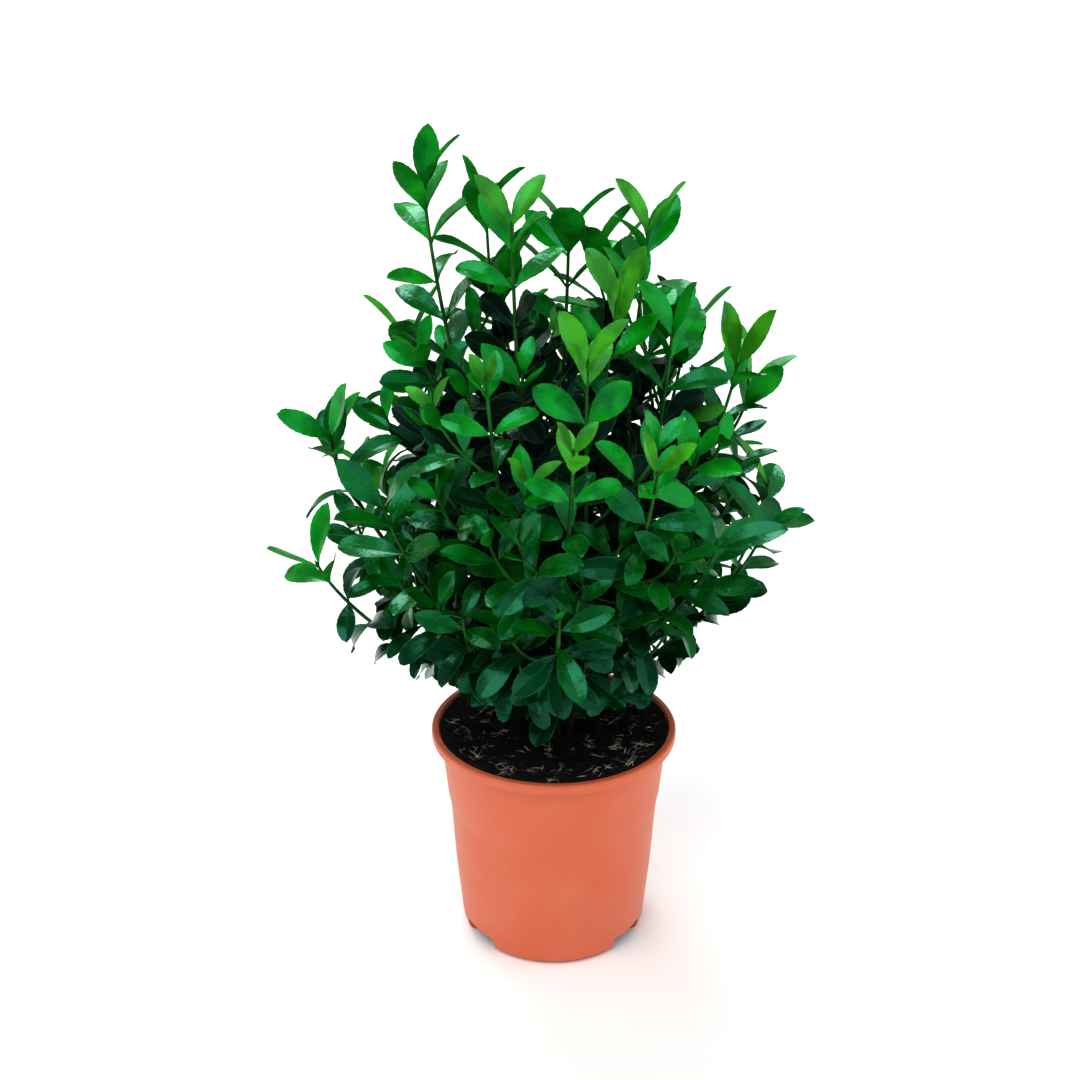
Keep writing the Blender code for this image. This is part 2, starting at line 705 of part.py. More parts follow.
def make_mass(name, mass, leaves, green):
    """One mass: its shoots and leaves joined into a single body, clear of its bough's tip."""
    main = [mass["shoots"][0][0] + mass["joint"] * GAP] + mass["shoots"][0][1:]
    shape = tube(main, shoot_radii(0, len(main)), SHOOT_SIDES, mass["joint"])
    body = add_object("foliage_" + name, *shape, green)
    group = bpy.data.collections.new(name)
    bpy.context.scene.collection.children.link(group)
    sides = [tube(path, shoot_radii(1, len(path)), SHOOT_SIDES) for path in mass["shoots"][1:]]
    for vertices, faces in sides + leaves:
        piece = add_object("piece", vertices, faces, green)
        bpy.context.scene.collection.objects.unlink(piece)
        group.objects.link(piece)
    boolean(body, "UNION", group=group)


def main():
    for old in list(bpy.data.objects):
        bpy.data.objects.remove(old)
    plastic = material("moulded_terracotta_plastic", (0.75, 0.17, 0.09), 0.5)
    earth = material("peat", (0.02, 0.015, 0.012), 0.95)
    wood = material("young_bark", (0.19, 0.16, 0.08), 0.8)
    green = material("foliage", (0.02, 0.22, 0.03), 0.4)
    make_pot(plastic)
    make_peat(earth)
    crown = grow_limbs()
    room = Room()
    make_stems(wood, room)
    make_boughs(crown, wood, room)
    for name, mass in crown.items():
        for number, path in enumerate(mass["shoots"]):
            shape = tube(path, shoot_radii(number, len(path)), SHOOT_SIDES)
            room.add(*shape, (name, number))
    leaves = place_leaves(crown, room)
    for name, mass in crown.items():
        make_mass(name, mass, leaves[name], green)


main()
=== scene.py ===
"""A potted Japanese spindle (Euonymus japonicus), finished for a studio picture.

The pot's size and the peat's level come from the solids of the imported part, and the limbs grow
by the rule that made those solids. Over them come bark on stems and boughs, fine green twigs,
life-size glossy leaves in opposite pairs, a moulded nursery pot and damp peat with straw fibres.

Growth is worked out in millimetres and turned to metres when a mesh is made.
"""

import functools
import json
import math
import random

import bpy
import numpy as np
from mathutils import Matrix, Quaternion, Vector, noise
from mathutils.bvhtree import BVHTree

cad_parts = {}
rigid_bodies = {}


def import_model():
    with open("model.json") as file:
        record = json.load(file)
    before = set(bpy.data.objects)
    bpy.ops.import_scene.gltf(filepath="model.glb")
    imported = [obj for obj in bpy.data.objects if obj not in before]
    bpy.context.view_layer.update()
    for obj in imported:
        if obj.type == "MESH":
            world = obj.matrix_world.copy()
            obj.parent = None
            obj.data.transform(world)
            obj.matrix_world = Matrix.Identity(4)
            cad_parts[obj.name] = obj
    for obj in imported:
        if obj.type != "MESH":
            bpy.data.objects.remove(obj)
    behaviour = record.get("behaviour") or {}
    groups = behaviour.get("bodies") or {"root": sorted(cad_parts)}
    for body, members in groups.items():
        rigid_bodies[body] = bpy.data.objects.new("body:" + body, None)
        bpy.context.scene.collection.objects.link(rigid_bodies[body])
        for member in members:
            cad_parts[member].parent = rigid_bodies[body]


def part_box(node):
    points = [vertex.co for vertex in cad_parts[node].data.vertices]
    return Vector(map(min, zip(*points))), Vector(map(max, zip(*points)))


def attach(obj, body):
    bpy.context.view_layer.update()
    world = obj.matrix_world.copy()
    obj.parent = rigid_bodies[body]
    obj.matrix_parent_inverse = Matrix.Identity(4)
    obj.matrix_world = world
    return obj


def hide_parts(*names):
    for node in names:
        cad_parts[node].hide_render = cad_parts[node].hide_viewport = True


bl_info = {
    "name": "Potted Japanese Spindle",
    "version": (1, 0, 0),
    "blender": (4, 5, 0),
    "location": "3D View > Sidebar > Spindle",
    "description": "Grows a glossy evergreen shrub in a nursery pot and sets it on a pale floor",
    "category": "Object",
}

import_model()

MM = 0.001
SEED = "spindle"
UP = Vector((0.0, 0.0, 1.0))
# Between one solid and the next
GAP = 0.3
# The peat's level where the stems stand. It rises from there to the wall
PEAT_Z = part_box("stem_front")[0].z / MM - GAP
PEAT_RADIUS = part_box("peat")[1].x / MM
POT_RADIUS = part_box("pot")[1].x / MM
POT_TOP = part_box("pot")[1].z / MM

# Growth of the limbs, as in the part's own solids. How a limb leaves its foot and arrives at its
# tip is given as shares of the level distance and of the rise
CURVE_POINTS = 60
BOUGH_FOOT_RADIUS, BOUGH_TIP_RADIUS = 2.5, 1.9
SHOOT_STEP = 28.0
FINE_BOUGH_STEP, FINE_SHOOT_STEP = 3.0, 6.0
FORK_SPREAD = 20.0
MAIN_LEAVE, MAIN_ARRIVE = (0.20, 0.26), (0.14, 0.34)
SIDE_LEAVE, SIDE_ARRIVE = (0.50, 0.28), (0.12, 0.40)
LATERAL_LEAVE, LATERAL_ARRIVE = (0.62, 0.18), (0.14, 0.45)
SIDE_SLOPE = 1.25
# A main limb's close points that side shoots may not leave from, at its foot and at its tip
SIDE_FIRST, SIDE_LAST = 2, 6
# A shoot's radius at its foot: a main shoot's, and a side shoot's, which grows with its length
MAIN_FOOT_RADIUS = 2.2
SIDE_FOOT_RADIUS, SIDE_FOOT_GROWTH = 1.0, 1 / 260.0
# Each stem's place on the peat and its height
STEMS = {
    "stem_left": ((-27.0, -6.0), 24.0),
    "stem_centre": ((0.0, 3.0), 44.0),
    "stem_front": ((6.0, -29.0), 14.0),
    "stem_right": ((31.0, 6.0), 22.0),
    "stem_back_left": ((-14.0, 31.0), 24.0),
    "stem_back_right": ((17.0, 33.0), 19.0),
}
# Each mass of foliage: its stem, the share of its main limb that is bare bough, and the tips of
# its leading shoots, the main one first
MASSES = {
    "tall_left": ("stem_left", 0.20, ((-90, 10, 585),)),
    "upper_left": ("stem_left", 0.22, ((-165, 20, 400), (-160, -15, 415))),
    "far_left": ("stem_left", 0.18, ((-170, -45, 330),)),
    "low_left": ("stem_left", 0.12, ((-115, -90, 390),)),
    "centre_left": ("stem_centre", 0.22, ((-30, -20, 565),)),
    "centre_back": ("stem_centre", 0.24, ((10, 55, 545),)),
    "right_tall": ("stem_centre", 0.22, ((65, 30, 550), (30, 70, 525))),
    "front_left": ("stem_front", 0.10, ((-45, -110, 485), (-80, -90, 460))),
    "front_lime": ("stem_front", 0.16, ((20, -90, 490), (40, -50, 520))),
    "front_centre": ("stem_front", 0.08, ((10, -150, 450),)),
    "front_right": ("stem_front", 0.10, ((65, -120, 425),)),
    "right_middle": ("stem_right", 0.16, ((80, -20, 490), (60, 15, 505))),
    "far_right": ("stem_right", 0.20, ((130, 10, 460), (145, 40, 435))),
    "low_right": ("stem_right", 0.18, ((150, -30, 350), (160, 25, 365))),
    "right_front": ("stem_right", 0.12, ((110, -85, 360),)),
    "back_left": ("stem_back_left", 0.20, ((-50, 70, 560),)),
    "back_far_left": ("stem_back_left", 0.18, ((-110, 90, 455),)),
    "back_low_left": ("stem_back_left", 0.14, ((-140, 120, 340),)),
    "back_middle": ("stem_back_left", 0.14, ((-40, 140, 490),)),
    "back_right": ("stem_back_right", 0.16, ((45, 120, 510),)),
    "back_far_right": ("stem_back_right", 0.16, ((100, 90, 460),)),
    "back_low_right": ("stem_back_right", 0.14, ((125, 135, 350),)),
    "back_low": ("stem_back_right", 0.10, ((20, 175, 390),)),
}
# Masses whose newest leaves are still unfolding, and how large those are so far
UNFOLDING = {"front_left": 0.5, "front_lime": 0.85, "front_centre": 0.5, "front_right": 0.7}
UNFOLDING_PAIRS = 4
# How many of a leading shoot's newest pairs are still lime green
LIME_PAIRS = {"front_lime": 2, "front_centre": 2, "front_left": 1, "front_right": 1, "far_right": 1,
              "centre_left": 1}

# Side shoots: their places along the main shoot, how near its ends they may stand, how long they
# are, how level or steep, and the room each needs round it
LATERAL_PLACES = (0.0, 0.35, 0.68)
LATERAL_START, LATERAL_END = 10.0, 70.0
LATERAL_LENGTH, LATERAL_SHRINK = (58.0, 96.0), 0.35
LATERAL_REACH, LATERAL_RISE = 0.72, 0.66
LATERAL_WAYS = 10
LATERAL_ROOM = 19.5
# A height, and how far from the pot's axis a side shoot's tip may stand there
OUTLINE = ((205, 46), (240, 66), (290, 112), (350, 156), (410, 152), (470, 112), (540, 70))

# The crown as an eye in front of the shrub and above it sees it, in the upright plane through the
# pot's middle: a height, and how far the foliage reaches there to the left and to the right
EYE = (-10.7, -1027.0, 755.0)
EYE_TILT = math.radians(22.5)
FRONT_REACH = (
    (150, -20, 5), (175, -45, 68), (205, -88, 80), (230, -158, 105), (260, -170, 132),
    (285, -207, 160), (320, -222, 185), (340, -200, 196), (365, -178, 180), (395, -186, 165),
    (430, -206, 152), (450, -178, 172), (475, -140, 172), (512, -140, 170), (525, -118, 95),
    (590, -120, 90), (615, -116, 62), (630, -96, -60),
)

# Finer side shoots within the same outline, and low ones that spread over the pot
FINE_PLACES = (0.05, 0.17, 0.29, 0.41, 0.53, 0.65, 0.78)
FINE_ROOM = 12.0
SKIRT_PLACES = (0.0, 0.06, 0.12)
SKIRT_LENGTH = (48.0, 74.0)
SKIRT_LEAVE, SKIRT_ARRIVE = (0.55, 0.50), (0.30, 0.10)
SKIRT_REACH, SKIRT_RISE = 1.0, 0.16
SKIRT_ROOM = 8.5

# Leaves from a shoot's tip down: size, climb and spacing of the first few pairs. Leading shoots
# end in full-sized leaves, side shoots in small ones
TIP_BUD = 2.0
SHOOT_BARE = 14.0
YOUNG_PAIRS = 2
LEADER_SIZE = (1.16, 1.26, 1.18, 1.08)
LEADER_SPACING = 1.35
SIDE_SIZE = (0.72, 0.94, 1.0, 0.96)
LOW_SHRINK = 0.16
PAIR_CLIMB = (2.0, 1.35, 1.1)
PAIR_SPACING = (0.50, 0.80, 0.95, 1.0)
SIZE_SPREAD, SPACING_SPREAD = 0.12, 0.12
TURN_SPREAD, CLIMB_SPREAD, ROLL_SPREAD = 0.25, 0.22, 0.30
START_WAYS = 8
PAIR_SPREAD = 2.0

# Leaves high on the shrub climb. Lower and older ones spread level, and the lowest hang
CLIMB_Z = (290.0, 450.0)
CLIMB_LOW, CLIMB_NEW = 0.30, 0.40
LEVEL_DROOP = 0.30
AGE_LENGTH, AGE_CLIMB, AGE_DROOP = 190.0, 0.40, 0.15
LOW_Z, LOW_RANGE, LOW_DROOP = 275.0, 70.0, 0.80
GROWN_LENGTH, GROWN_OUTWARD, GROWN_FACING = 60.0, 0.35, 0.7
LIGHT_UP, LIGHT_OUTWARD, YOUNG_LIGHT = 0.8, 0.4, 0.6
# The side in the photograph faced the window, so leaves up to its middle turn that way
FRONT = Vector((0.0, -1.0, 0.0))
LIGHT_FRONT, LIGHT_FRONT_LOW, FRONT_DEPTH = 0.85, 0.5, 80.0
# Where a leaf has no room it is tried again: shorter by a share, and turned by an angle
LEAF_TRIES = (
    (1.0, 0.0), (0.96, 0.25), (0.96, -0.25), (0.9, 0.5), (0.9, -0.5), (0.82, 0.0), (0.72, 0.3),
    (0.72, -0.3), (0.8, 0.8), (0.8, -0.8),
)
LEAF_FLOOR = 170.0
# How many leaves and lengths of shoot there is room for, and the steps of a shoot in one length
MOST_PIECES, ROOM_STEPS = 8000, 5

# Which green a leaf has, by its height, its depth under the outline, and the pairs above it. Height and
# depth paint light and shade: leaves deep inside and low down get darker greens, high and outer ones
# lighter greens
SHADE_DEPTH, OUTER_DEPTH = 58.0, -10.0
MIDDLE_Z, LIME_Z, FRESH_Z, UPPER_Z, TOP_Z = 300.0, 330.0, 400.0, 430.0, 500.0
MIDDLE_PAIRS = 4
LIME_MOOD, FRESH_MOOD = 0.88, 0.3

# One leaf: rows along it as share of length, and half the blade's width there
LEAF_ROWS = (0.0, 0.07, 0.16, 0.28, 0.41, 0.54, 0.66, 0.77, 0.87, 0.95)
LEAF_HALF_WIDTHS = (0.016, 0.020, 0.066, 0.130, 0.180, 0.208, 0.214, 0.196, 0.152, 0.088)
YOUNG_TAPER = 0.38
# Half the rib's width at the foot, as share of the leaf's length, and how much of it is left at
# the tip. Next to the edge it is at most half the blade
LEAF_RIB, RIB_FOOT, RIB_MOST = 0.008, 1.15, 0.5
# The pale margin, partly the leaf's own paler edge and partly a painted highlight along it, starts at
# this share of the half width
LEAF_MARGIN, MARGIN_LEAST = 0.93, 1.2
# Teeth stand between rows, and only small ones on the stalk
LEAF_TOOTH, STALK_TOOTH, TOOTH_PLACE = 0.010, 0.002, 0.68
LEAF_THICKNESS, STALK_THICKNESS, STALK_LENGTH = 0.012, 0.030, 0.16
LEAF_ARCH = 2.4
# The edge wave: radians along the leaf, how far one edge lags the other, where it is full, and
# how far each shape's wave is moved on
WAVE_TURNS, WAVE_LAG, WAVE_EDGE, WAVE_SHIFT = 9.0, 2.0, 0.22, 1.7
UPPER, RIB, UNDER = 0, 1, 2
# Vertices at the tip and on the edges, which tell whether a leaf keeps within the crown's reach
TEST_POINTS = [70, 35, 40, 56, 61]
# Bend over the length, which is never nothing, fold about the rib, twist, edge wave and share of
# the full width: young shapes, then grown ones
YOUNG_SHAPES = (
    (-0.20, 0.60, 0.08, 0.004, 1.00),
    (0.25, 0.50, -0.16, 0.008, 1.05),
    (0.60, 0.42, 0.12, 0.010, 0.94),
)
GROWN_SHAPES = (
    (0.35, 0.50, 0.20, 0.014, 1.00),
    (0.60, 0.34, -0.24, 0.018, 0.88),
    (0.90, 0.56, 0.10, 0.012, 0.80),
    (0.10, 0.62, -0.14, 0.014, 1.02),
    (0.50, 0.28, 0.34, 0.020, 0.90),
    (1.10, 0.42, -0.08, 0.016, 0.78),
    (-0.20, 0.46, 0.16, 0.018, 0.94),
)


def linear(code):
    """A colour written as sRGB hex digits, as the linear values that shaders read."""
    values = [int(code[i:i + 2], 16) / 255 for i in (1, 3, 5)]
    return [v / 12.92 if v <= 0.04045 else ((v + 0.055) / 1.055) ** 2.4 for v in values]


def colour(code, name, description):
    return bpy.props.FloatVectorProperty(
        name=name, description=description, subtype="COLOR", size=3, min=0, max=1, default=linear(code)
    )


def measure(default, name, description):
    return bpy.props.FloatProperty(
        name=name, description=description, subtype="DISTANCE", unit="LENGTH", default=default
    )


def between(first, second, share):
    return [a + (b - a) * share for a, b in zip(first, second)]


class SpindlePotSettings(bpy.types.PropertyGroup):
    rim_radius: measure(POT_RADIUS * MM, "Rim radius", "Outside of the rolled lip")
    height: measure(POT_TOP * MM, "Height", "From the underside to the top of the lip")
    plastic: colour("#D46844", "Plastic", "Colour of the moulded wall")
    worn: colour("#D57A5B", "Scuffed plastic", "Paler bloom where the wall has been rubbed")


class SpindlePeatSettings(bpy.types.PropertyGroup):
    crumbs: bpy.props.IntProperty(
        name="Crumbs", description="How many lumps lie on the peat", default=1500, min=0)
    fibres: bpy.props.IntProperty(
        name="Fibres", description="How many straw fibres lie on the peat", default=520, min=0)
    seed: bpy.props.IntProperty(name="Seed", description="Where crumbs and fibres fall", default=7)
    damp: colour("#080607", "Damp peat", "Colour in the hollows")
    dry: colour("#231D1A", "Dry peat", "Colour of crumbs that have dried")
    straw: colour("#E4DDC8", "Straw", "Colour of the fibres")


class SpindleFoliageSettings(bpy.types.PropertyGroup):
    leaf_length: measure(0.042, "Leaf length", "Grown leaf with its stalk")
    node_spacing: measure(0.0215, "Pair spacing", "Between pairs of leaves on a grown shoot")
    tip_radius: measure(0.0011, "Twig tip radius", "Green twig just below its bud")
    # Painted shade: the shaded green is given to leaves deep inside the crown
    deep: colour("#00170A", "Shaded leaf", "Blade of leaves deep inside the shrub")
    # Partly painted shade: besides old leaves, every leaf low on the shrub takes this green
    dark: colour("#023D19", "Old leaf", "Blade of last year's leaves")
    middle: colour("#006611", "Grown leaf", "Blade of this year's leaves")
    # Partly painted light: besides leaves near a tip, most leaves high on the shrub and young ones on its
    # outside take this green
    fresh: colour("#079410", "Young leaf", "Blade of the leaves near a shoot's tip")
    lime: colour("#47A41A", "Unfolding leaf", "Blade of the newest leaves")
    # This paler green is partly the underside's own colour and partly painted light that would shine
    # through the thin blade
    underside: colour("#3CA84C", "Underside", "Paler green that shows through on the back of a leaf")
    # On the thin edge this paler green is partly the leaf's own margin and partly a painted highlight
    # along it
    rib: colour("#58B070", "Rib and margin", "Paler green of the rib and of the thin edge")
    twig: colour("#2F6C28", "Green twig", "Bark of this year's growth")
    bark: colour("#241D14", "Bark", "Older stems and boughs")


class SpindleStageSettings(bpy.types.PropertyGroup):
    floor: colour("#FFFFFF", "Floor", "Plain pale floor")
    key: bpy.props.FloatProperty(
        name="Key light", description="Strength from the upper left", default=1.5)
    rim: bpy.props.FloatProperty(
        name="Rim light", description="Strength from behind and above", default=1.3)
    sky: bpy.props.FloatProperty(
        name="Surrounding light", description="Soft light from all round", default=0.34)
    lens: bpy.props.FloatProperty(
        name="Lens", description="Focal length in millimetres", default=50.0)


def add_node(tree, kind, inputs=None, **settings):
    """Adds a node. Each input, by name or number, gets a value or a link from another node."""
    node = tree.nodes.new(kind)
    for name, value in settings.items():
        setattr(node, name, value)
    for key, value in (inputs or {}).items():
        if isinstance(value, bpy.types.NodeSocket):
            tree.links.new(value, node.inputs[key])
        else:
            node.inputs[key].default_value = value
    return node


def start_material(name, **sockets):
    """A new material, with its tree, its shader and the position in the object to pattern it by."""
    made = bpy.data.materials.new(name)
    made.use_nodes = True
    tree = made.node_tree
    shader = tree.nodes["Principled BSDF"]
    for key, value in sockets.items():
        shader.inputs[key.replace("_", " ")].default_value = value
    place = add_node(tree, "ShaderNodeTexCoord").outputs["Object"]
    return made, tree, shader, place


def speckle(tree, place, size, detail, drawn=1.0):
    """A noise pattern of a size in millimetres, drawn out upwards where the real one is."""
    turns = 1 / (size * MM)
    spread = add_node(tree, "ShaderNodeMapping", {
        "Vector": place, "Scale": (turns, turns, turns / drawn)})
    noisy = add_node(tree, "ShaderNodeTexNoise", {
        "Vector": spread.outputs[0], "Scale": 1.0, "Detail": detail})
    return noisy.outputs["Fac"]


def mottle(started, first, second, band, **pattern):
    """Colours a started material from first to second where a pattern passes through a band."""
    made, tree, shader, place = started
    share = add_node(tree, "ShaderNodeMapRange", {
        0: speckle(tree, place, **pattern), 1: band[0], 2: band[1]})
    mixed = add_node(tree, "ShaderNodeMix", {0: share.outputs[0], 6: (*first, 1), 7: (*second, 1)},
                     data_type="RGBA")
    tree.links.new(mixed.outputs[2], shader.inputs["Base Color"])
    return made


def relief(started, strength, height, **pattern):
    """Gives a started material a pattern's bumps, their height in millimetres."""
    _, tree, shader, place = started
    bump = add_node(tree, "ShaderNodeBump", {
        "Height": speckle(tree, place, **pattern), "Strength": strength, "Distance": height * MM})
    tree.links.new(bump.outputs[0], shader.inputs["Normal"])


def polypropylene(settings):
    """Injection-moulded polypropylene: even colour, a soft satin sheen, and a faint chalky bloom."""
    started = start_material("moulded_polypropylene", IOR=1.49)
    _, tree, shader, place = started
    # Scuffs run round the wall, 17 mm long and 2.4 mm high
    scuffs = speckle(tree, place, size=16.7, detail=3.0, drawn=0.143)
    rough = add_node(tree, "ShaderNodeMapRange", {0: scuffs, 3: 0.36, 4: 0.52})
    tree.links.new(rough.outputs[0], shader.inputs["Roughness"])
    # Spark-eroded grain of 0.3 mm, drawn at 1.5 mm so that it shows
    relief(started, strength=0.12, height=0.4, size=1.54, detail=2.0)
    bloom = between(settings.plastic, settings.worn, 0.55)
    return mottle(started, settings.plastic, bloom, band=(0.42, 0.72), size=45.5, detail=4.0)


def damp_peat(settings):
    """Damp sphagnum peat: nearly black hollows, dull brown crumbs of 4 mm, no shine."""
    started = start_material("damp_sphagnum_peat", Roughness=0.92, IOR=1.4)
    relief(started, strength=0.9, height=1.5, size=4.17, detail=5.0)
    return mottle(started, settings.damp, settings.dry, band=(0.45, 0.75), size=4.17, detail=5.0)


def dry_crumb(settings):
    """Air-dried peat crumbs: dull grey-brown, each a little different."""
    started = start_material("air_dried_peat_crumb", Roughness=0.95, IOR=1.4)
    return mottle(started, settings.damp, settings.dry, band=(0.35, 0.7), size=6.25, detail=1.0)


def straw_fibre(settings):
    """Dry straw and root fibre: pale, matt, darker where it is still damp."""
    started = start_material("dry_straw_fibre", Roughness=0.8, IOR=1.45)
    return mottle(started, settings.dry, settings.straw, band=(0.5, 0.68), size=11.1, detail=1.0)


def young_bark(foliage):
    """Young bark, two to five years old: grey-brown cork in furrows 1.4 mm apart and 11 mm long."""
    started = start_material("furrowed_young_bark", Roughness=0.85, IOR=1.45, Specular_IOR_Level=0.2)
    furrows = {"size": 1.43, "detail": 4.0, "drawn": 7.8}
    relief(started, strength=0.6, height=0.6, **furrows)
    deep = [v * 0.35 for v in foliage.bark]
    return mottle(started, deep, foliage.bark, band=(0.35, 0.65), **furrows)


def green_bark(foliage):
    """Skin of this year's twigs: smooth, waxy green with paler and deeper lengths."""
    started = start_material("waxy_green_twig_skin", Roughness=0.45, IOR=1.45,
                             Specular_Tint=(0.30, 1.0, 0.50, 1.0), Specular_IOR_Level=0.35)
    deep = [v * 0.45 for v in foliage.twig]
    return mottle(started, deep, foliage.twig, band=(0.4, 0.65), size=16.7, detail=2.0)


def cuticle(name, base, roughness, gloss):
    """Leaf skin under a wax cuticle: one green a spray, half as light here and there, and gloss
    tinted the cool green of the leaves round it, a painted reflection."""
    started = start_material(name, Roughness=roughness, IOR=1.48,
                             Specular_Tint=(0.20, 1.0, 0.66, 1.0), Specular_IOR_Level=gloss)
    # The leathery blade swells between its veins, about 3 mm apart
    relief(started, strength=0.3, height=0.7, size=3.03, detail=1.0)
    deep = [v * 0.5 for v in base]
    return mottle(started, deep, base, band=(0.4, 0.6), size=21.7, detail=2.0)


def new_object(name, vertices, faces, edges=(), scale=MM):
    mesh = bpy.data.meshes.new(name)
    mesh.from_pydata([Vector(v) * scale for v in vertices], list(edges), faces)
    made = bpy.data.objects.new(name, mesh)
    bpy.context.scene.collection.objects.link(made)
    return made


def set_attribute(mesh, name, kind, domain, values):
    numbers = np.asarray(values, dtype=np.int32 if kind == "INT" else np.float32)
    mesh.attributes.new(name, kind, domain).data.foreach_set("value", numbers.ravel())


def plain_mesh(made):
    """Turns an object's modifiers into its mesh, without the empty material slots they leave."""
    graph = bpy.context.evaluated_depsgraph_get()
    result = bpy.data.meshes.new_from_object(made.evaluated_get(graph), depsgraph=graph)
    old = made.data
    made.modifiers.clear()
    made.data = result
    result.name = made.name
    if old.users == 0:
        bpy.data.meshes.remove(old)
    for number in reversed(range(len(result.materials))):
        if result.materials[number] is None:
            result.materials.pop(index=number)


def apply_tree(made, tree, inputs):
    """Runs a geometry tree on an object, with its inputs given by name, and keeps the mesh."""
    modifier = made.modifiers.new(tree.name, "NODES")
    modifier.node_group = tree
    for item in tree.interface.items_tree:
        if item.item_type == "SOCKET" and item.in_out == "INPUT" and item.name in inputs:
            modifier[item.identifier] = inputs[item.name]
    plain_mesh(made)


def start_tree(name, sockets):
    """A new geometry tree with a Geometry input and output and the named inputs."""
    tree = bpy.data.node_groups.new(name, "GeometryNodeTree")
    tree.interface.new_socket("Geometry", in_out="INPUT", socket_type="NodeSocketGeometry")
    for label, kind in sockets:
        tree.interface.new_socket(label, in_out="INPUT", socket_type="NodeSocket" + kind)
    tree.interface.new_socket("Geometry", in_out="OUTPUT", socket_type="NodeSocketGeometry")
    return tree, add_node(tree, "NodeGroupInput").outputs


def end_tree(tree, last, finishes):
    """Ends a tree: what its last node makes, as real geometry, and each material in turn on the
    faces chosen for it."""
    last = add_node(tree, "GeometryNodeRealizeInstances", {0: last.outputs[0]})
    for finish, chosen in finishes:
        last = add_node(tree, "GeometryNodeSetMaterial", {0: last.outputs[0], 1: chosen, 2: finish})
    add_node(tree, "NodeGroupOutput", {0: last.outputs[0]})


def bent(foot, tip, leave, arrive, push=Vector()):
    """Close points on a limb's curve from foot to tip, pulled at each end as its shares say."""
    reach = Vector((tip.x - foot.x, tip.y - foot.y, 0.0))
    rise = UP * (tip.z - foot.z)
    after = foot + push + reach * leave[0] + rise * leave[1]
    before = tip - reach * arrive[0] - rise * arrive[1]
    points = []
    for i in range(CURVE_POINTS + 1):
        t = i / CURVE_POINTS
        s = 1 - t
        start = foot * s ** 3 + after * (3 * s * s * t)
        points.append(start + before * (3 * s * t * t) + tip * t ** 3)
    return points


def path_length(points):
    return sum((b - a).length for a, b in zip(points, points[1:]))


def along_path(points, distance):
    """The point that far along a path, and the way the path runs there."""
    for a, b in zip(points, points[1:]):
        length = (b - a).length
        if distance <= length:
            return a.lerp(b, distance / length), (b - a).normalized()
        distance -= length
    return points[-1].copy(), (points[-1] - points[-2]).normalized()


def stretch(points, start, end, step):
    """The part of a path between two distances along it, in even steps."""
    steps = max(1, round((end - start) / step))
    return [along_path(points, start + (end - start) * i / steps)[0] for i in range(steps + 1)]


def closer(points):
    """The same path with two more points between each pair, for measuring distances."""
    rows = [a.lerp(b, k / 3) for a, b in zip(points, points[1:]) for k in range(3)]
    return rows + [points[-1]]


def rows_of(points):
    return np.array([tuple(p) for p in points])


def distances(rows, others):
    """The distance from each row to the nearest of the others."""
    return np.sqrt(((rows[:, None] - others[None]) ** 2).sum(-1)).min(1)


def fork(stem):
    """Where each of a stem's boughs starts, on a ring turned to face their tips, and its radius."""
    (x, y), height = STEMS[stem]
    aims = {}
    for name, (base, _, tips) in MASSES.items():
        if base == stem:
            aims[name] = math.atan2(tips[0][1] - y, tips[0][0] - x)
    names = sorted(aims, key=aims.get)
    step = 2 * math.pi / len(names)
    drift = [aims[name] - step * i for i, name in enumerate(names)]
    turn = math.atan2(sum(map(math.sin, drift)), sum(map(math.cos, drift)))
    ring = (BOUGH_FOOT_RADIUS + GAP) / math.sin(step / 2)
    centre = Vector((x, y, PEAT_Z + 2 * GAP + height))
    places = {}
    for i, name in enumerate(names):
        outward = Vector((math.cos(turn + step * i), math.sin(turn + step * i), 0.0))
        places[name] = (centre + outward * ring, outward)
    return places, ring


def side_path(main, tip):
    """A side shoot that leaves the main one low enough to climb as steeply as side shoots do."""
    def unfitness(root):
        reach = math.hypot(tip.x - root.x, tip.y - root.y)
        return abs(tip.z - root.z - SIDE_SLOPE * reach)

    root = min(closer(main)[SIDE_FIRST:-SIDE_LAST], key=unfitness)
    return bent(root, tip, SIDE_LEAVE, SIDE_ARRIVE)


def open_side(rng, main, place, taken, lengths, reach, rise, bends, least):
    """A side shoot towards the most open side, or nothing where it would be crowded."""
    root, _ = along_path(main, LATERAL_START + place * (path_length(main) - LATERAL_END))
    length = rng.uniform(*lengths) * (1.0 - LATERAL_SHRINK * place)
    turn = rng.uniform(0, 2 * math.pi)
    heights, radii = zip(*OUTLINE)
    best, most = None, least
    for i in range(LATERAL_WAYS):
        angle = turn + 2 * math.pi * i / LATERAL_WAYS
        away = Vector((math.cos(angle), math.sin(angle), 0.0))
        tip = root + (away * reach + UP * rise) * length
        if math.hypot(tip.x, tip.y) > np.interp(tip.z, heights, radii):
            continue
        path = bent(root, tip, *bends)
        rough = stretch(path, 0.0, path_length(path), SHOOT_STEP)
        room = distances(rows_of(closer(rough)[len(rough):]), taken).min()
        if room > most:
            best, most = path, room
    return best


def side_rounds():
    """Every round of side shoots: its place on the main shoot and how those shoots grow."""
    for place in LATERAL_PLACES:
        yield (place, LATERAL_LENGTH, LATERAL_REACH, LATERAL_RISE,
               (LATERAL_LEAVE, LATERAL_ARRIVE), LATERAL_ROOM)
    for place in SKIRT_PLACES:
        yield (place, SKIRT_LENGTH, SKIRT_REACH, SKIRT_RISE, (SKIRT_LEAVE, SKIRT_ARRIVE), SKIRT_ROOM)
    for place in FINE_PLACES:
        yield (place, LATERAL_LENGTH, LATERAL_REACH, LATERAL_RISE,
               (LATERAL_LEAVE, LATERAL_ARRIVE), FINE_ROOM)


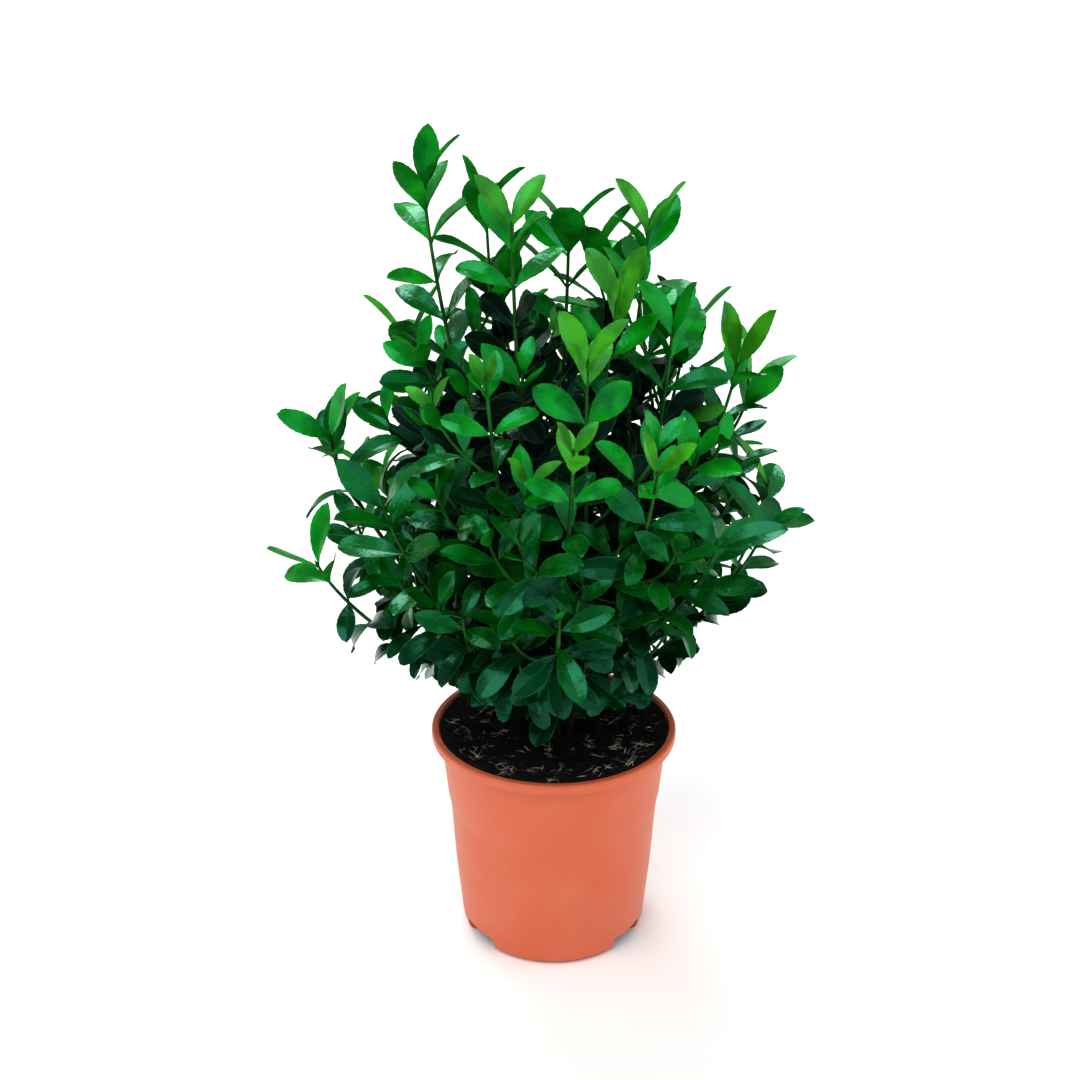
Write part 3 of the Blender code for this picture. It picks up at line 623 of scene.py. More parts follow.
@functools.cache
def grow_limbs():
    """Each mass's bough and shoots: close points of each, the main shoot first."""
    crown = {}
    for stem in STEMS:
        places, _ = fork(stem)
        for name, (place, outward) in places.items():
            _, bare, tips = MASSES[name]
            path = bent(place, Vector(tips[0]), MAIN_LEAVE, MAIN_ARRIVE, outward * FORK_SPREAD)
            whole = path_length(path)
            rough = stretch(path, bare * whole, whole, SHOOT_STEP)
            shoots = [stretch(path, bare * whole, whole, FINE_SHOOT_STEP)]
            shoots += [side_path(rough, Vector(tip)) for tip in tips[1:]]
            crown[name] = {"bough": stretch(path, 0.0, bare * whole, FINE_BOUGH_STEP),
                           "main": rough, "shoots": shoots, "outward": outward}
    for number, (place, lengths, reach, rise, bends, least) in enumerate(side_rounds()):
        for name in MASSES:
            taken = []
            for mass in crown.values():
                for path in [mass["bough"]] + mass["shoots"]:
                    taken += closer(stretch(path, 0.0, path_length(path), SHOOT_STEP))
            own = number < len(LATERAL_PLACES)
            rng = random.Random(f"{SEED} {name} {place}" if own else f"{SEED} {name} {number} fine")
            made = open_side(rng, crown[name]["main"], place, rows_of(taken), lengths, reach, rise,
                             bends, least)
            if made:
                crown[name]["shoots"].append(made)
    return crown


def leads(name, number):
    """Whether a mass's shoot is one of those whose tips are set. The rest follow the rule."""
    return number < len(MASSES[name][2])


def taper(foot, tip, count):
    return [foot + (tip - foot) * i / (count - 1) for i in range(count)]


def shoot_radii(number, points, tip_radius):
    """A shoot's radius at each of its points: number 0 is the mass's main shoot."""
    side = SIDE_FOOT_RADIUS + SIDE_FOOT_GROWTH * path_length(points)
    return taper(MAIN_FOOT_RADIUS if number == 0 else side, tip_radius, len(points))


def from_front(rows):
    """Where points seem to stand in the upright plane through the pot's middle, for an eye in
    front of the shrub and above it: across and up."""
    eye_x, eye_y, eye_z = EYE
    level, slope = math.cos(EYE_TILT), math.sin(EYE_TILT)
    depth = (rows[:, 1] - eye_y) * level - (rows[:, 2] - eye_z) * slope
    rise = ((rows[:, 1] - eye_y) * slope + (rows[:, 2] - eye_z) * level) / depth
    up = eye_y * (slope - rise * level) / (level + rise * slope)
    across = (rows[:, 0] - eye_x) / depth * (-eye_y * level - up * slope)
    return np.stack((across + eye_x, up + eye_z), 1)


def within_reach(rows):
    """Whether each point falls within the crown's reach as seen from the front."""
    x, z = from_front(rows).T
    heights, left, right = zip(*FRONT_REACH)
    across = (x > np.interp(z, heights, left)) & (x < np.interp(z, heights, right))
    return across & (z > heights[0]) & (z < heights[-1])


def best_start(seed, points, name, number, length, spacing):
    """The turn of a shoot's first pair that keeps most leaves within the crown's reach. A leading
    shoot also spreads its newest pair to either side as seen from the front."""
    spread = PAIR_SPREAD if leads(name, number) else 0.0

    def fitness(start):
        found = list(shoot_leaves(random.Random(seed), points, name, number, length, spacing, start))
        ends = rows_of(node + along * size for node, along, _, size, _ in found)
        apart = np.ptp(from_front(ends[:2])[:, 0]) / length
        return within_reach(ends).sum() + spread * apart

    first = random.Random(seed + " start").uniform(0, math.pi)
    return max((first + math.pi * i / START_WAYS for i in range(START_WAYS)), key=fitness)


def for_pair(values, pair):
    """A pair's value out of a few, the last of which serves all pairs below it too."""
    return values[min(pair, len(values) - 1)]


def shoot_leaves(rng, points, name, number, length, spacing, start):
    """Each leaf of a shoot, from the tip down: its node, direction, blade normal, length, and how
    many pairs stand above it."""
    total = path_length(points)
    leader = leads(name, number)
    young = UNFOLDING.get(name, 1.0) if leader else 1.0
    sizes = LEADER_SIZE if leader else SIDE_SIZE
    apart = spacing * (LEADER_SPACING if leader else 1.0)
    side = Vector((math.cos(start), math.sin(start), 0.0))
    back = TIP_BUD
    pair = 0
    while total - back > (SHOOT_BARE if pair else 0.0):
        node, axis = along_path(points, total - back)
        side = (side - axis * side.dot(axis)).normalized()
        turn = Quaternion(axis, pair * math.pi / 2 + rng.uniform(-TURN_SPREAD, TURN_SPREAD))
        size = for_pair(sizes, pair) * rng.uniform(1 - SIZE_SPREAD, 1 + SIZE_SPREAD)
        size *= young + (1.0 - young) * min(pair / UNFOLDING_PAIRS, 1.0)
        age = min(1.0, back / AGE_LENGTH)
        grown = min(1.0, back / GROWN_LENGTH)
        low = min(max((LOW_Z - node.z) / LOW_RANGE, 0.0), 1.0)
        high = float(np.interp(node.z, CLIMB_Z, (0.0, 1.0)))
        radial = Vector((node.x, node.y, 0.0)).normalized()
        light = radial * LIGHT_OUTWARD + UP * LIGHT_UP
        near = min(max(1.0 - node.y / FRONT_DEPTH, 0.0), 1.0)
        light += FRONT * (near * (LIGHT_FRONT_LOW + (LIGHT_FRONT - LIGHT_FRONT_LOW) * high))
        size *= 1.0 - LOW_SHRINK * low
        for sign in (1, -1):
            out = turn @ side * sign
            climb = for_pair(PAIR_CLIMB, pair) - AGE_CLIMB * age
            climb *= CLIMB_LOW + (1.0 - CLIMB_LOW) * max(high, CLIMB_NEW * (1.0 - grown))
            climb += rng.uniform(-CLIMB_SPREAD, CLIMB_SPREAD)
            spread = (out + radial * (GROWN_OUTWARD * grown)).normalized()
            droop = AGE_DROOP * age + LEVEL_DROOP * (1.0 - high) * grown + LOW_DROOP * low
            along = (spread + axis * climb - UP * droop).normalized()
            lit = light * (YOUNG_LIGHT + (1.0 - YOUNG_LIGHT) * grown)
            face = axis * (1.0 - GROWN_FACING * grown) + lit
            face = (face - along * face.dot(along)).normalized()
            roll = Quaternion(along, rng.uniform(-ROLL_SPREAD, ROLL_SPREAD))
            yield node, along, roll @ face, length * size, pair
        step = apart * for_pair(PAIR_SPACING, pair)
        back += step * rng.uniform(1 - SPACING_SPREAD, 1 + SPACING_SPREAD)
        pair += 1


@functools.cache
def leaf_shape(number):
    """A leaf one unit long: it runs along +Y with its upper face to +Z. Returns vertices, faces,
    what each face is, and which faces lie beyond the stalk."""
    bend, fold, twist, wave, wide = (YOUNG_SHAPES + GROWN_SHAPES)[number]
    vertices, faces, kinds = [], [], []

    def place(t, x, drop):
        """A point of the blade: x across and drop below it, on the bent and twisted midline."""
        lift = fold * abs(x) * (1.0 - LEAF_ARCH * abs(x))
        phase = WAVE_TURNS * t + number * WAVE_SHIFT + (WAVE_LAG if x > 0 else 0.0)
        lift += wave * math.sin(phase) * (x / WAVE_EDGE) ** 2
        angle = bend * t
        y = math.sin(angle) / bend
        z = (math.cos(angle) - 1.0) / bend
        roll = twist * t
        across = x * math.cos(roll) - (lift - drop) * math.sin(roll)
        rise = x * math.sin(roll) + (lift - drop) * math.cos(roll)
        return (across, y + rise * math.sin(angle), z + rise * math.cos(angle))

    rows = []
    narrowing = YOUNG_TAPER if number < len(YOUNG_SHAPES) else 0.0
    for t, half in zip(LEAF_ROWS, LEAF_HALF_WIDTHS):
        half *= wide * (1.0 - narrowing * t ** 3)
        rib = min(LEAF_RIB * (RIB_FOOT - t), half * RIB_MOST)
        stalk = max(0.0, 1.0 - t / STALK_LENGTH)
        thick = LEAF_THICKNESS + (STALK_THICKNESS - LEAF_THICKNESS) * stalk
        edge = max(half * LEAF_MARGIN, rib * MARGIN_LEAST)
        start = len(vertices)
        vertices += [place(t, x, 0.0) for x in (-half, -edge, -rib, rib, edge, half)]
        vertices.append(place(t, 0.0, thick))
        rows.append(range(start, len(vertices)))
    tip = len(vertices)
    vertices.append(place(1.0, 0.0, LEAF_THICKNESS / 3))
    teeth = []
    for i in range(len(rows) - 1):
        t = LEAF_ROWS[i] + TOOTH_PLACE * (LEAF_ROWS[i + 1] - LEAF_ROWS[i])
        half = float(np.interp(t, LEAF_ROWS, LEAF_HALF_WIDTHS)) * wide * (1.0 - narrowing * t ** 3)
        half += LEAF_TOOTH if i > 1 else STALK_TOOTH
        teeth.append((len(vertices), len(vertices) + 1))
        vertices.append(place(t, -half, 0.0))
        vertices.append(place(t, half, 0.0))
    beyond = []
    for i in range(len(rows) - 1):
        a, b = rows[i], rows[i + 1]
        left, right = teeth[i]
        new = [
            ((a[0], a[1], b[1], b[0], left), RIB), ((a[1], a[2], b[2], b[1]), UPPER),
            ((a[2], a[3], b[3], b[2]), RIB), ((a[3], a[4], b[4], b[3]), UPPER),
            ((a[4], a[5], right, b[5], b[4]), RIB),
            ((a[0], left, b[0], b[6], a[6]), UNDER), ((a[5], a[6], b[6], b[5], right), UNDER),
        ]
        beyond += [i > 0] * len(new)
        faces += [face for face, _ in new]
        kinds += [kind for _, kind in new]
    last, first = rows[-1], rows[0]
    ends = [((last[k], last[k + 1], tip), RIB if k == 2 else UPPER) for k in range(5)]
    ends += [((last[0], tip, last[6]), UNDER), ((last[5], last[6], tip), UNDER)]
    ends.append((tuple(reversed(first[:6])) + (first[6],), UNDER))
    beyond += [True] * (len(ends) - 1) + [False]
    faces += [face for face, _ in ends]
    kinds += [kind for _, kind in ends]
    return np.array(vertices), faces, kinds, [face for face, use in zip(faces, beyond) if use]


def ball(vertices):
    """The middle of some points and how far the farthest stands from it."""
    centre = vertices.mean(0)
    return centre, np.sqrt(((vertices - centre) ** 2).sum(1)).max()


class Room:
    """What is already in place, for telling whether a new leaf touches it."""

    def __init__(self):
        self.centres = np.zeros((MOST_PIECES, 3))
        self.reaches = np.zeros(MOST_PIECES)
        self.pieces = []

    def add(self, vertices, faces, owner=None):
        count = len(self.pieces)
        self.centres[count], self.reaches[count] = ball(vertices)
        self.pieces.append((BVHTree.FromPolygons(vertices.tolist(), faces), owner))

    def touches(self, vertices, faces, owner):
        centre, reach = ball(vertices)
        count = len(self.pieces)
        apart = np.sqrt(((self.centres[:count] - centre) ** 2).sum(1))
        near = np.nonzero(apart < self.reaches[:count] + reach)[0]
        tree = BVHTree.FromPolygons(vertices.tolist(), faces)
        return any(self.pieces[i][1] != owner and tree.overlap(self.pieces[i][0]) for i in near)


def tube(points, radii, sides):
    """A tapering limb along points, closed with a flat face at each end."""
    vertices = []
    side = Vector((1.0, 0.0, 0.0))
    for i, point in enumerate(points):
        axis = (points[min(i + 1, len(points) - 1)] - points[max(i - 1, 0)]).normalized()
        side = (side - axis * side.dot(axis)).normalized()
        across = axis.cross(side)
        for k in range(sides):
            angle = 2 * math.pi * k / sides
            spoke = side * math.cos(angle) + across * math.sin(angle)
            vertices.append(point + spoke * radii[i])
    last = (len(points) - 1) * sides
    faces = [tuple(reversed(range(sides))), tuple(range(last, last + sides))]
    for i in range(len(points) - 1):
        for k in range(sides):
            a = i * sides + k
            b = i * sides + (k + 1) % sides
            faces.append((a, b, b + sides, a + sides))
    return vertices, faces


@functools.cache
def place_leaves(length, spacing, tip_radius):
    """Every leaf that finds room: its root, turn, length, shape and tone."""
    crown = grow_limbs()
    room = Room()
    for name, mass in crown.items():
        for number, path in enumerate(mass["shoots"]):
            radii = shoot_radii(number, path, tip_radius)
            for i in range(0, len(path) - 1, ROOM_STEPS):
                part = slice(i, i + ROOM_STEPS + 1)
                vertices, faces = tube(path[part], radii[part], 4)
                room.add(rows_of(vertices), faces, (name, number))
    leaves = []
    order = [(name, number) for name, mass in crown.items() for number in range(len(mass["shoots"]))]
    order.sort(key=lambda shoot: not leads(*shoot))
    for name, number in order:
        path = crown[name]["shoots"][number]
        rng = random.Random(f"{SEED} {name} {number} leaves")
        mood = rng.random()
        seed = f"{SEED} {name} {number} pairs"
        start = best_start(seed, path, name, number, length, spacing)
        for node, along, face, size, pair in shoot_leaves(
                random.Random(seed), path, name, number, length, spacing, start):
            if pair < YOUNG_PAIRS:
                shape = rng.randrange(len(YOUNG_SHAPES))
            else:
                shape = len(YOUNG_SHAPES) + rng.randrange(len(GROWN_SHAPES))
            vertices, _, _, blade = leaf_shape(shape)
            for share, swing in LEAF_TRIES:
                ahead = Quaternion(face, swing) @ along
                basis = np.array((ahead.cross(face), ahead, face))
                placed = vertices * (size * share) @ basis + np.array(node)
                if placed[:, 2].min() < LEAF_FLOOR or not within_reach(placed[TEST_POINTS]).all():
                    continue
                if room.touches(placed, blade, (name, number)):
                    continue
                room.add(placed, blade)
                leaves.append({"node": node, "turn": tuple(Matrix(basis.T.tolist()).to_quaternion()),
                               "size": size * share * MM, "shape": shape,
                               "tone": leaf_tone(name, number, pair, mood, node)})
                break
    return leaves


def leaf_tone(name, number, pair, mood, node):
    """Which green a spray's leaves have: newest lime, young, grown or old, with painted light and shade:
    the darkest green deep inside the crown, darker greens low down, lighter ones high up and on the
    outside.
    """
    heights, radii = zip(*OUTLINE)
    depth = float(np.interp(node.z, heights, radii)) - math.hypot(node.x, node.y)
    if leads(name, number) and pair < LIME_PAIRS.get(name, 0):
        return "lime"
    if pair == 0 and mood > LIME_MOOD and node.z > LIME_Z:
        return "lime"
    # Painted shade: a leaf deep inside the crown takes the darkest green
    if depth > SHADE_DEPTH:
        return "deep"
    # Painted light: leaves high on the shrub, and young ones on the outside of the crown, take the
    # lighter young green
    if node.z > FRESH_Z and pair < YOUNG_PAIRS + round(2 * mood):
        return "fresh"
    if node.z > TOP_Z and mood > FRESH_MOOD:
        return "fresh"
    if depth < OUTER_DEPTH and pair < YOUNG_PAIRS:
        return "fresh"
    # Painted light as well as age: every leaf high up takes the grown green rather than the old one
    if pair < MIDDLE_PAIRS and node.z > MIDDLE_Z or node.z > UPPER_Z:
        return "middle"
    # Painted shade as well as age: every leaf low on the shrub ends in the dark green
    return "dark"


def around(radius, heights):
    """A ring of points about the pot's axis, one for each height."""
    step = 2 * math.pi / len(heights)
    return [(radius * math.cos(i * step), radius * math.sin(i * step), z) for i, z in enumerate(heights)]


def closed(bottom, rings, top):
    """A closed body: rings of points from its underside to its top, with a point on the axis at
    each end."""
    segments = len(rings[0])
    vertices = [(0.0, 0.0, bottom)] + sum(rings, []) + [(0.0, 0.0, top)]
    last = len(vertices) - 1
    high = last - segments
    faces = []
    for i in range(segments):
        j = (i + 1) % segments
        faces.append((0, 1 + j, 1 + i))
        for a in range(1, high, segments):
            b = a + segments
            faces.append((a + i, a + j, b + j, b + i))
        faces.append((last, high + i, high + j))
    return vertices, faces


POT_SEGMENTS = 192
# How far the moulded edges are rounded, outside and inside, in how many steps, and the most that
# a corner may take of the sides next to it
OUTER_ROUND, INNER_ROUND = 2.2, 1.5
ROUND_STEPS, ROUND_MOST = 4, 0.45
# Drain notches: where each stands round the foot and how wide it is, in degrees, between which
# radii it is cut, and its levels with the share of the width there
NOTCH_PLACES, NOTCH_WIDTH = (53.5, 126.5, 233.5, 306.5), 27.0
NOTCH_RADII = (53.6, 82.6)
NOTCH_LEVELS = ((-3.0, 1.0), (11.0, 1.0), (13.0, 0.88))


def rounded(profile, radius):
    """A profile with each of its inner points rounded, as a mould's edges are."""
    points = [profile[0]]
    for before, corner, after in zip(profile, profile[1:], profile[2:]):
        a, b, c = Vector(before), Vector(corner), Vector(after)
        cut = min(radius, (a - b).length * ROUND_MOST, (c - b).length * ROUND_MOST)
        start = b + (a - b).normalized() * cut
        end = b + (c - b).normalized() * cut
        for i in range(ROUND_STEPS + 1):
            t = i / ROUND_STEPS
            points.append(tuple(start * (1 - t) ** 2 + b * (2 * t * (1 - t)) + end * t ** 2))
    points.append(profile[-1])
    return points


class SPINDLE_OT_pot(bpy.types.Operator):
    """Turn the nursery pot with its rolled lip, stepped wall and drain notches"""
    bl_idname = "spindle.pot"
    bl_label = "Pot"

    def execute(self, context):
        settings = context.scene.spindle_pot
        rim, top = settings.rim_radius / MM, settings.height / MM
        # Radius and height, from the pad under the pot up to the lip, then down inside
        outer = [
            (0.0, 0.0), (14.0, 0.0), (17.0, 4.0), (57.1, 4.0), (60.1, 0.0), (64.6, 0.0),
            (69.4, 1.4), (72.2, 4.2), (73.6, 9.0), (78.2, 58.0), (81.4, 110.0), (83.4, 121.0),
            (88.0, top - 9.5), (rim - 0.8, top - 8.0), (rim, top - 6.8), (rim, top - 1.3),
            (rim - 1.4, top), (rim - 4.8, top),
        ]
        inner = [
            (rim - 6.1, top - 1.3), (86.3, top - 10.5), (81.7, 122.0), (79.7, 111.0),
            (72.7, 15.0), (67.4, 6.0), (0.0, 6.0),
        ]
        profile = rounded(outer, OUTER_ROUND) + rounded(inner, INNER_ROUND)
        rings = [around(radius, [z] * POT_SEGMENTS) for radius, z in profile[1:-1]]
        pot = new_object("pot_shell", *closed(profile[0][1], rings, profile[-1][1]))
        for middle in NOTCH_PLACES:
            self.cut_notch(pot, middle)
        pot.data.shade_smooth()
        pot.data.set_sharp_from_angle(angle=math.radians(38))
        pot.data.materials.clear()
        pot.data.materials.append(polypropylene(settings))
        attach(pot, "root")
        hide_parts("pot")
        return {"FINISHED"}

    def cut_notch(self, pot, middle):
        """Takes one drain notch out of the foot ring and the wall's bottom edge."""
        near, far = NOTCH_RADII
        vertices = []
        for z, spread in NOTCH_LEVELS:
            for radius, side in ((near, -0.5), (far, -0.5), (far, 0.5), (near, 0.5)):
                angle = math.radians(middle - 90 + side * spread * NOTCH_WIDTH)
                vertices.append((radius * math.cos(angle), radius * math.sin(angle), z))
        faces = [(3, 2, 1, 0), (8, 9, 10, 11)]
        for level in (0, 4):
            faces += [(level + i, level + (i + 1) % 4, level + 4 + (i + 1) % 4, level + 4 + i)
                      for i in range(4)]
        cutter = new_object("notch", vertices, faces)
        step = pot.modifiers.new("notch", "BOOLEAN")
        step.operation = "DIFFERENCE"
        step.solver = "EXACT"
        step.object = cutter
        plain_mesh(pot)
        bpy.data.objects.remove(cutter)


# The peat's wall as radius and height, how far its rim is pressed out, and the rings across its top
PEAT_WALL = ((66.5, 8.0), (72.5, 17.0), (79.0, 111.0), (81.2, 122.0))
PEAT_PRESS = 1.1
PEAT_SEGMENTS, PEAT_RINGS, RING_EASE = 180, 64, 1.15
# The top is a little above its level, rises from a radius on, and has lumps of three sizes: how
# wide each is, how high, and which layer of noise it reads
PEAT_LIFT = 0.4
RISE_HEIGHT, RISE_RADIUS, RISE_WIDTH, RISE_POWER = 8.0, 48.0, 40.0, 1.5
PEAT_LUMPS = ((26.0, 2.0, 0.0), (9.0, 1.2, 5.0), (3.6, 0.7, 9.0))
# What lies on it, in patches some 20 mm across, thin to thick, and not nearer the rim than this
CRUMB_SIZES, CRUMB_SPREAD = (0.5, 1.7), (0.7, 1.2)
FIBRE_SIZES, FIBRE_RADII = (0.4, 1.4), (0.10, 0.24, 0.22, 0.08)
FIBRE_POINTS = ((-8.0, 0.0, 0.1), (-3.4, 1.2, 0.6), (1.8, 0.8, 0.9), (7.5, -1.4, 0.2))
PATCHES_PER_METRE, PATCH_BAND, PATCH_CROWD = 48.0, (0.42, 0.66), (0.2, 3.2)
SCATTER_EDGE = 6.0
# How far up a face must look to carry them, and how far they tilt, in radians
FACES_UP, FALLEN_TILT = 0.5, 0.5


class SPINDLE_OT_peat(bpy.types.Operator):
    """Fill the pot with crumbly peat, and scatter crumbs and straw fibres on it"""
    bl_idname = "spindle.peat"
    bl_label = "Peat"

    def execute(self, context):
        settings = context.scene.spindle_peat
        rings = [around(radius, [z] * PEAT_SEGMENTS) for radius, z in PEAT_WALL]
        for k in range(PEAT_RINGS):
            radius = (PEAT_RADIUS + PEAT_PRESS) * (1.0 - (k / PEAT_RINGS) ** RING_EASE)
            levels = [self.level(radius, i / PEAT_SEGMENTS) for i in range(PEAT_SEGMENTS)]
            rings.append(around(radius, levels))
        peat = new_object("peat_block", *closed(PEAT_WALL[0][1], rings, self.level(0.0, 0.0)))
        peat.data.shade_smooth()
        peat.data.materials.append(damp_peat(settings))
        crumbs = self.scattered("peat_crumbs", peat, self.crumb(), settings.crumbs, settings.seed,
                                CRUMB_SIZES, dry_crumb(settings))
        fibres = self.scattered("peat_fibres", peat, self.fibre(), settings.fibres, settings.seed + 1,
                                FIBRE_SIZES, straw_fibre(settings))
        for piece in (peat, crumbs, fibres):
            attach(piece, "root")
            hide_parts("peat")
        return {"FINISHED"}

    def level(self, radius, turn):
        """The peat's top: nearly flat, pressed up against the wall, with lumps of 4 to 26 mm."""
        angle = 2 * math.pi * turn
        here = Vector((radius * math.cos(angle), radius * math.sin(angle), 0.0))
        lumps = sum(height * noise.noise(here / size + UP * layer) for size, height, layer in PEAT_LUMPS)
        rise = RISE_HEIGHT * max(0.0, (radius - RISE_RADIUS) / RISE_WIDTH) ** RISE_POWER
        return PEAT_Z + PEAT_LIFT + rise + lumps

    def crumb(self):
        """An uneven lump about a millimetre across."""
        rng = random.Random(f"{SEED} crumb")
        points = [(1, 0, 0), (0, 1, 0), (-1, 0, 0), (0, -1, 0), (0, 0, 1), (0, 0, -1)]
        points = [Vector(p) * rng.uniform(*CRUMB_SPREAD) for p in points]
        faces = [(0, 1, 4), (1, 2, 4), (2, 3, 4), (3, 0, 4), (1, 0, 5), (2, 1, 5), (3, 2, 5), (0, 3, 5)]
        return new_object("crumb", points, faces)

    def fibre(self):
        """A bent straw fibre about 15 mm long."""
        return new_object("fibre", *tube([Vector(p) for p in FIBRE_POINTS], FIBRE_RADII, 4))

    def scattered(self, name, ground, shape, count, seed, sizes, finish):
        """Copies of a shape on the top faces of the ground, lying as they fell."""
        tree, inlet = start_tree(name + "_tree", (
            ("Shape", "Object"), ("Density", "Float"), ("Seed", "Int"), ("Smallest", "Float"),
            ("Largest", "Float"), ("Reach", "Float"), ("Finish", "Material")))
        normal = add_node(tree, "GeometryNodeInputNormal").outputs[0]
        height = add_node(tree, "ShaderNodeSeparateXYZ", {0: normal}).outputs[2]
        upward = add_node(tree, "FunctionNodeCompare", {0: height, 1: FACES_UP},
                          operation="GREATER_THAN")
        place = add_node(tree, "GeometryNodeInputPosition").outputs[0]
        level = add_node(tree, "ShaderNodeVectorMath", {0: place, 1: (1.0, 1.0, 0.0)},
                         operation="MULTIPLY")
        away = add_node(tree, "ShaderNodeVectorMath", {0: level.outputs[0]}, operation="LENGTH")
        inside = add_node(tree, "FunctionNodeCompare", {0: away.outputs["Value"], 1: inlet["Reach"]},
                          operation="LESS_THAN")
        top = add_node(tree, "FunctionNodeBooleanMath", {0: upward.outputs[0], 1: inside.outputs[0]})
        tops = add_node(tree, "GeometryNodeSeparateGeometry", {0: inlet["Geometry"], 1: top.outputs[0]},
                        domain="FACE")
        patch = add_node(tree, "ShaderNodeTexNoise", {"Scale": PATCHES_PER_METRE, "Detail": 1.0})
        share = add_node(tree, "ShaderNodeMapRange", {
            0: patch.outputs["Fac"], 1: PATCH_BAND[0], 2: PATCH_BAND[1],
            3: PATCH_CROWD[0], 4: PATCH_CROWD[1]})
        crowd = add_node(tree, "ShaderNodeMath", {0: inlet["Density"], 1: share.outputs[0]},
                         operation="MULTIPLY")
        points = add_node(tree, "GeometryNodeDistributePointsOnFaces", {
            "Mesh": tops.outputs[0], "Density": crowd.outputs[0], "Seed": inlet["Seed"]})
        most = (FALLEN_TILT, FALLEN_TILT, 2 * math.pi)
        spin = add_node(tree, "FunctionNodeRandomValue", {
            0: (0.0, 0.0, 0.0), 1: most, "Seed": inlet["Seed"]}, data_type="FLOAT_VECTOR")
        turn = add_node(tree, "FunctionNodeEulerToRotation", {0: spin.outputs[0]})
        size = add_node(tree, "FunctionNodeRandomValue", {
            2: inlet["Smallest"], 3: inlet["Largest"], "Seed": inlet["Seed"]})
        shown = add_node(tree, "GeometryNodeObjectInfo", {0: inlet["Shape"]})
        copies = add_node(tree, "GeometryNodeInstanceOnPoints", {
            "Points": points.outputs[0], "Instance": shown.outputs["Geometry"],
            "Rotation": turn.outputs[0], "Scale": size.outputs[1]})
        end_tree(tree, copies, [(inlet["Finish"], True)])
        made = bpy.data.objects.new(name, ground.data.copy())
        bpy.context.scene.collection.objects.link(made)
        reach = (PEAT_RADIUS - SCATTER_EDGE) * MM
        density = count / (math.pi * reach ** 2)
        apply_tree(made, tree, {"Shape": shape, "Density": density, "Seed": seed, "Smallest": sizes[0],
                                "Largest": sizes[1], "Reach": reach, "Finish": finish})
        bpy.data.objects.remove(shape)
        return made


# A stem's heights above the peat and the share of its full radius there, from the root flare up.
# It starts in the peat, and ends rounded above its boughs' feet
STEM_RINGS = ((0.0, 1.45), (3.2, 1.15), (9.0, 0.98))
STEM_BRIM, STEM_SUNK, STEM_OVER, STEM_STEP = 1.9, 3.0, 2.0, 1.5
STEM_ROUNDING = (0.85, 0.5)
STEM_SIDES, BOUGH_SIDES = 18, 12
# Inside its stem a bough starts lower down and further in: how far, and its radius there
BOUGH_ROOTS = ((9.0, 1.5, 2.6), (4.5, 0.6, 2.9))
BOUGH_SWELL = 0.3
# Relief of the bark as shares of the radius: rings where old pairs of leaves stood, and furrows,
# their turns round the limb, their length and their depth
SCAR_SPACING, SCAR_HEIGHT, SCAR_POWER = 26.0, 0.10, 8
FURROW_TURNS, FURROW_LENGTH, FURROW_DEPTH = 1.6, 11.0, 0.09
CRACK_TURNS, CRACK_LENGTH, CRACK_DEPTH = 2.6, 3.0, 0.05


class SPINDLE_OT_wood(bpy.types.Operator):
    """Model the stems and boughs with the relief of young bark"""
    bl_idname = "spindle.wood"
    bl_label = "Stems and boughs"

    def execute(self, context):
        vertices, faces = [], []
        for stem, ((x, y), height) in STEMS.items():
            _, ring = fork(stem)
            steps = int((STEM_SUNK + height + STEM_OVER) / STEM_STEP)
            levels = [STEM_STEP * i - STEM_SUNK for i in range(steps + 1)]
            heights, shares = zip(*(STEM_RINGS + ((height, 1.0),)))
            points = [Vector((x, y, PEAT_Z + GAP + level)) for level in levels]
            radii = [(ring + STEM_BRIM) * float(np.interp(level, heights, shares)) for level in levels]
            radii[-2] *= STEM_ROUNDING[0]
            radii[-1] *= STEM_ROUNDING[1]
            self.add_limb(vertices, faces, points, radii, STEM_SIDES)
        for mass in grow_limbs().values():
            bough = mass["bough"]
            roots = [bough[0] - UP * down - mass["outward"] * inward for down, inward, _ in BOUGH_ROOTS]
            radii = [radius for _, _, radius in BOUGH_ROOTS]
            radii += taper(BOUGH_FOOT_RADIUS, BOUGH_TIP_RADIUS + BOUGH_SWELL, len(bough))
            self.add_limb(vertices, faces, roots + bough, radii, BOUGH_SIDES)
        wood = new_object("stems_and_boughs", vertices, faces)
        wood.data.shade_smooth()
        wood.data.set_sharp_from_angle(angle=math.radians(60))
        wood.data.materials.append(young_bark(context.scene.spindle_foliage))
        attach(wood, "root")
        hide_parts(*STEMS, *["bough_" + name for name in MASSES])
        return {"FINISHED"}

    def add_limb(self, vertices, faces, points, radii, sides):
        """One limb with furrows along it and a low ring where each old pair of leaves stood."""
        made, its_faces = tube(points, radii, sides)
        start = len(vertices)
        along = 0.0
        for i, point in enumerate(points):
            along += (point - points[i - 1]).length if i else 0.0
            scar = max(0.0, math.cos(2 * math.pi * along / SCAR_SPACING)) ** SCAR_POWER
            for k in range(sides):
                spoke = made[i * sides + k] - point
                way = Vector((spoke.x, spoke.y, 0.0)).normalized() * FURROW_TURNS
                furrow = noise.noise(way + Vector((point.x, point.y, along / FURROW_LENGTH)))
                crack = noise.noise(way * CRACK_TURNS + UP * (along / CRACK_LENGTH))
                swell = 1.0 + FURROW_DEPTH * furrow + CRACK_DEPTH * crack + SCAR_HEIGHT * scar
                vertices.append(point + spoke * swell)
        faces += [tuple(start + v for v in face) for face in its_faces]


# A twig's steps and sides, its bud, and where it is woody: along the foot of a main shoot, and
# low on the shrub
TWIG_STEP, TWIG_SIDES = 4.0, 6
BUD_LENGTH, BUD_RADIUS = 3.2, 0.25
WOODY_SHARE, WOODY_Z = 0.2, 240.0


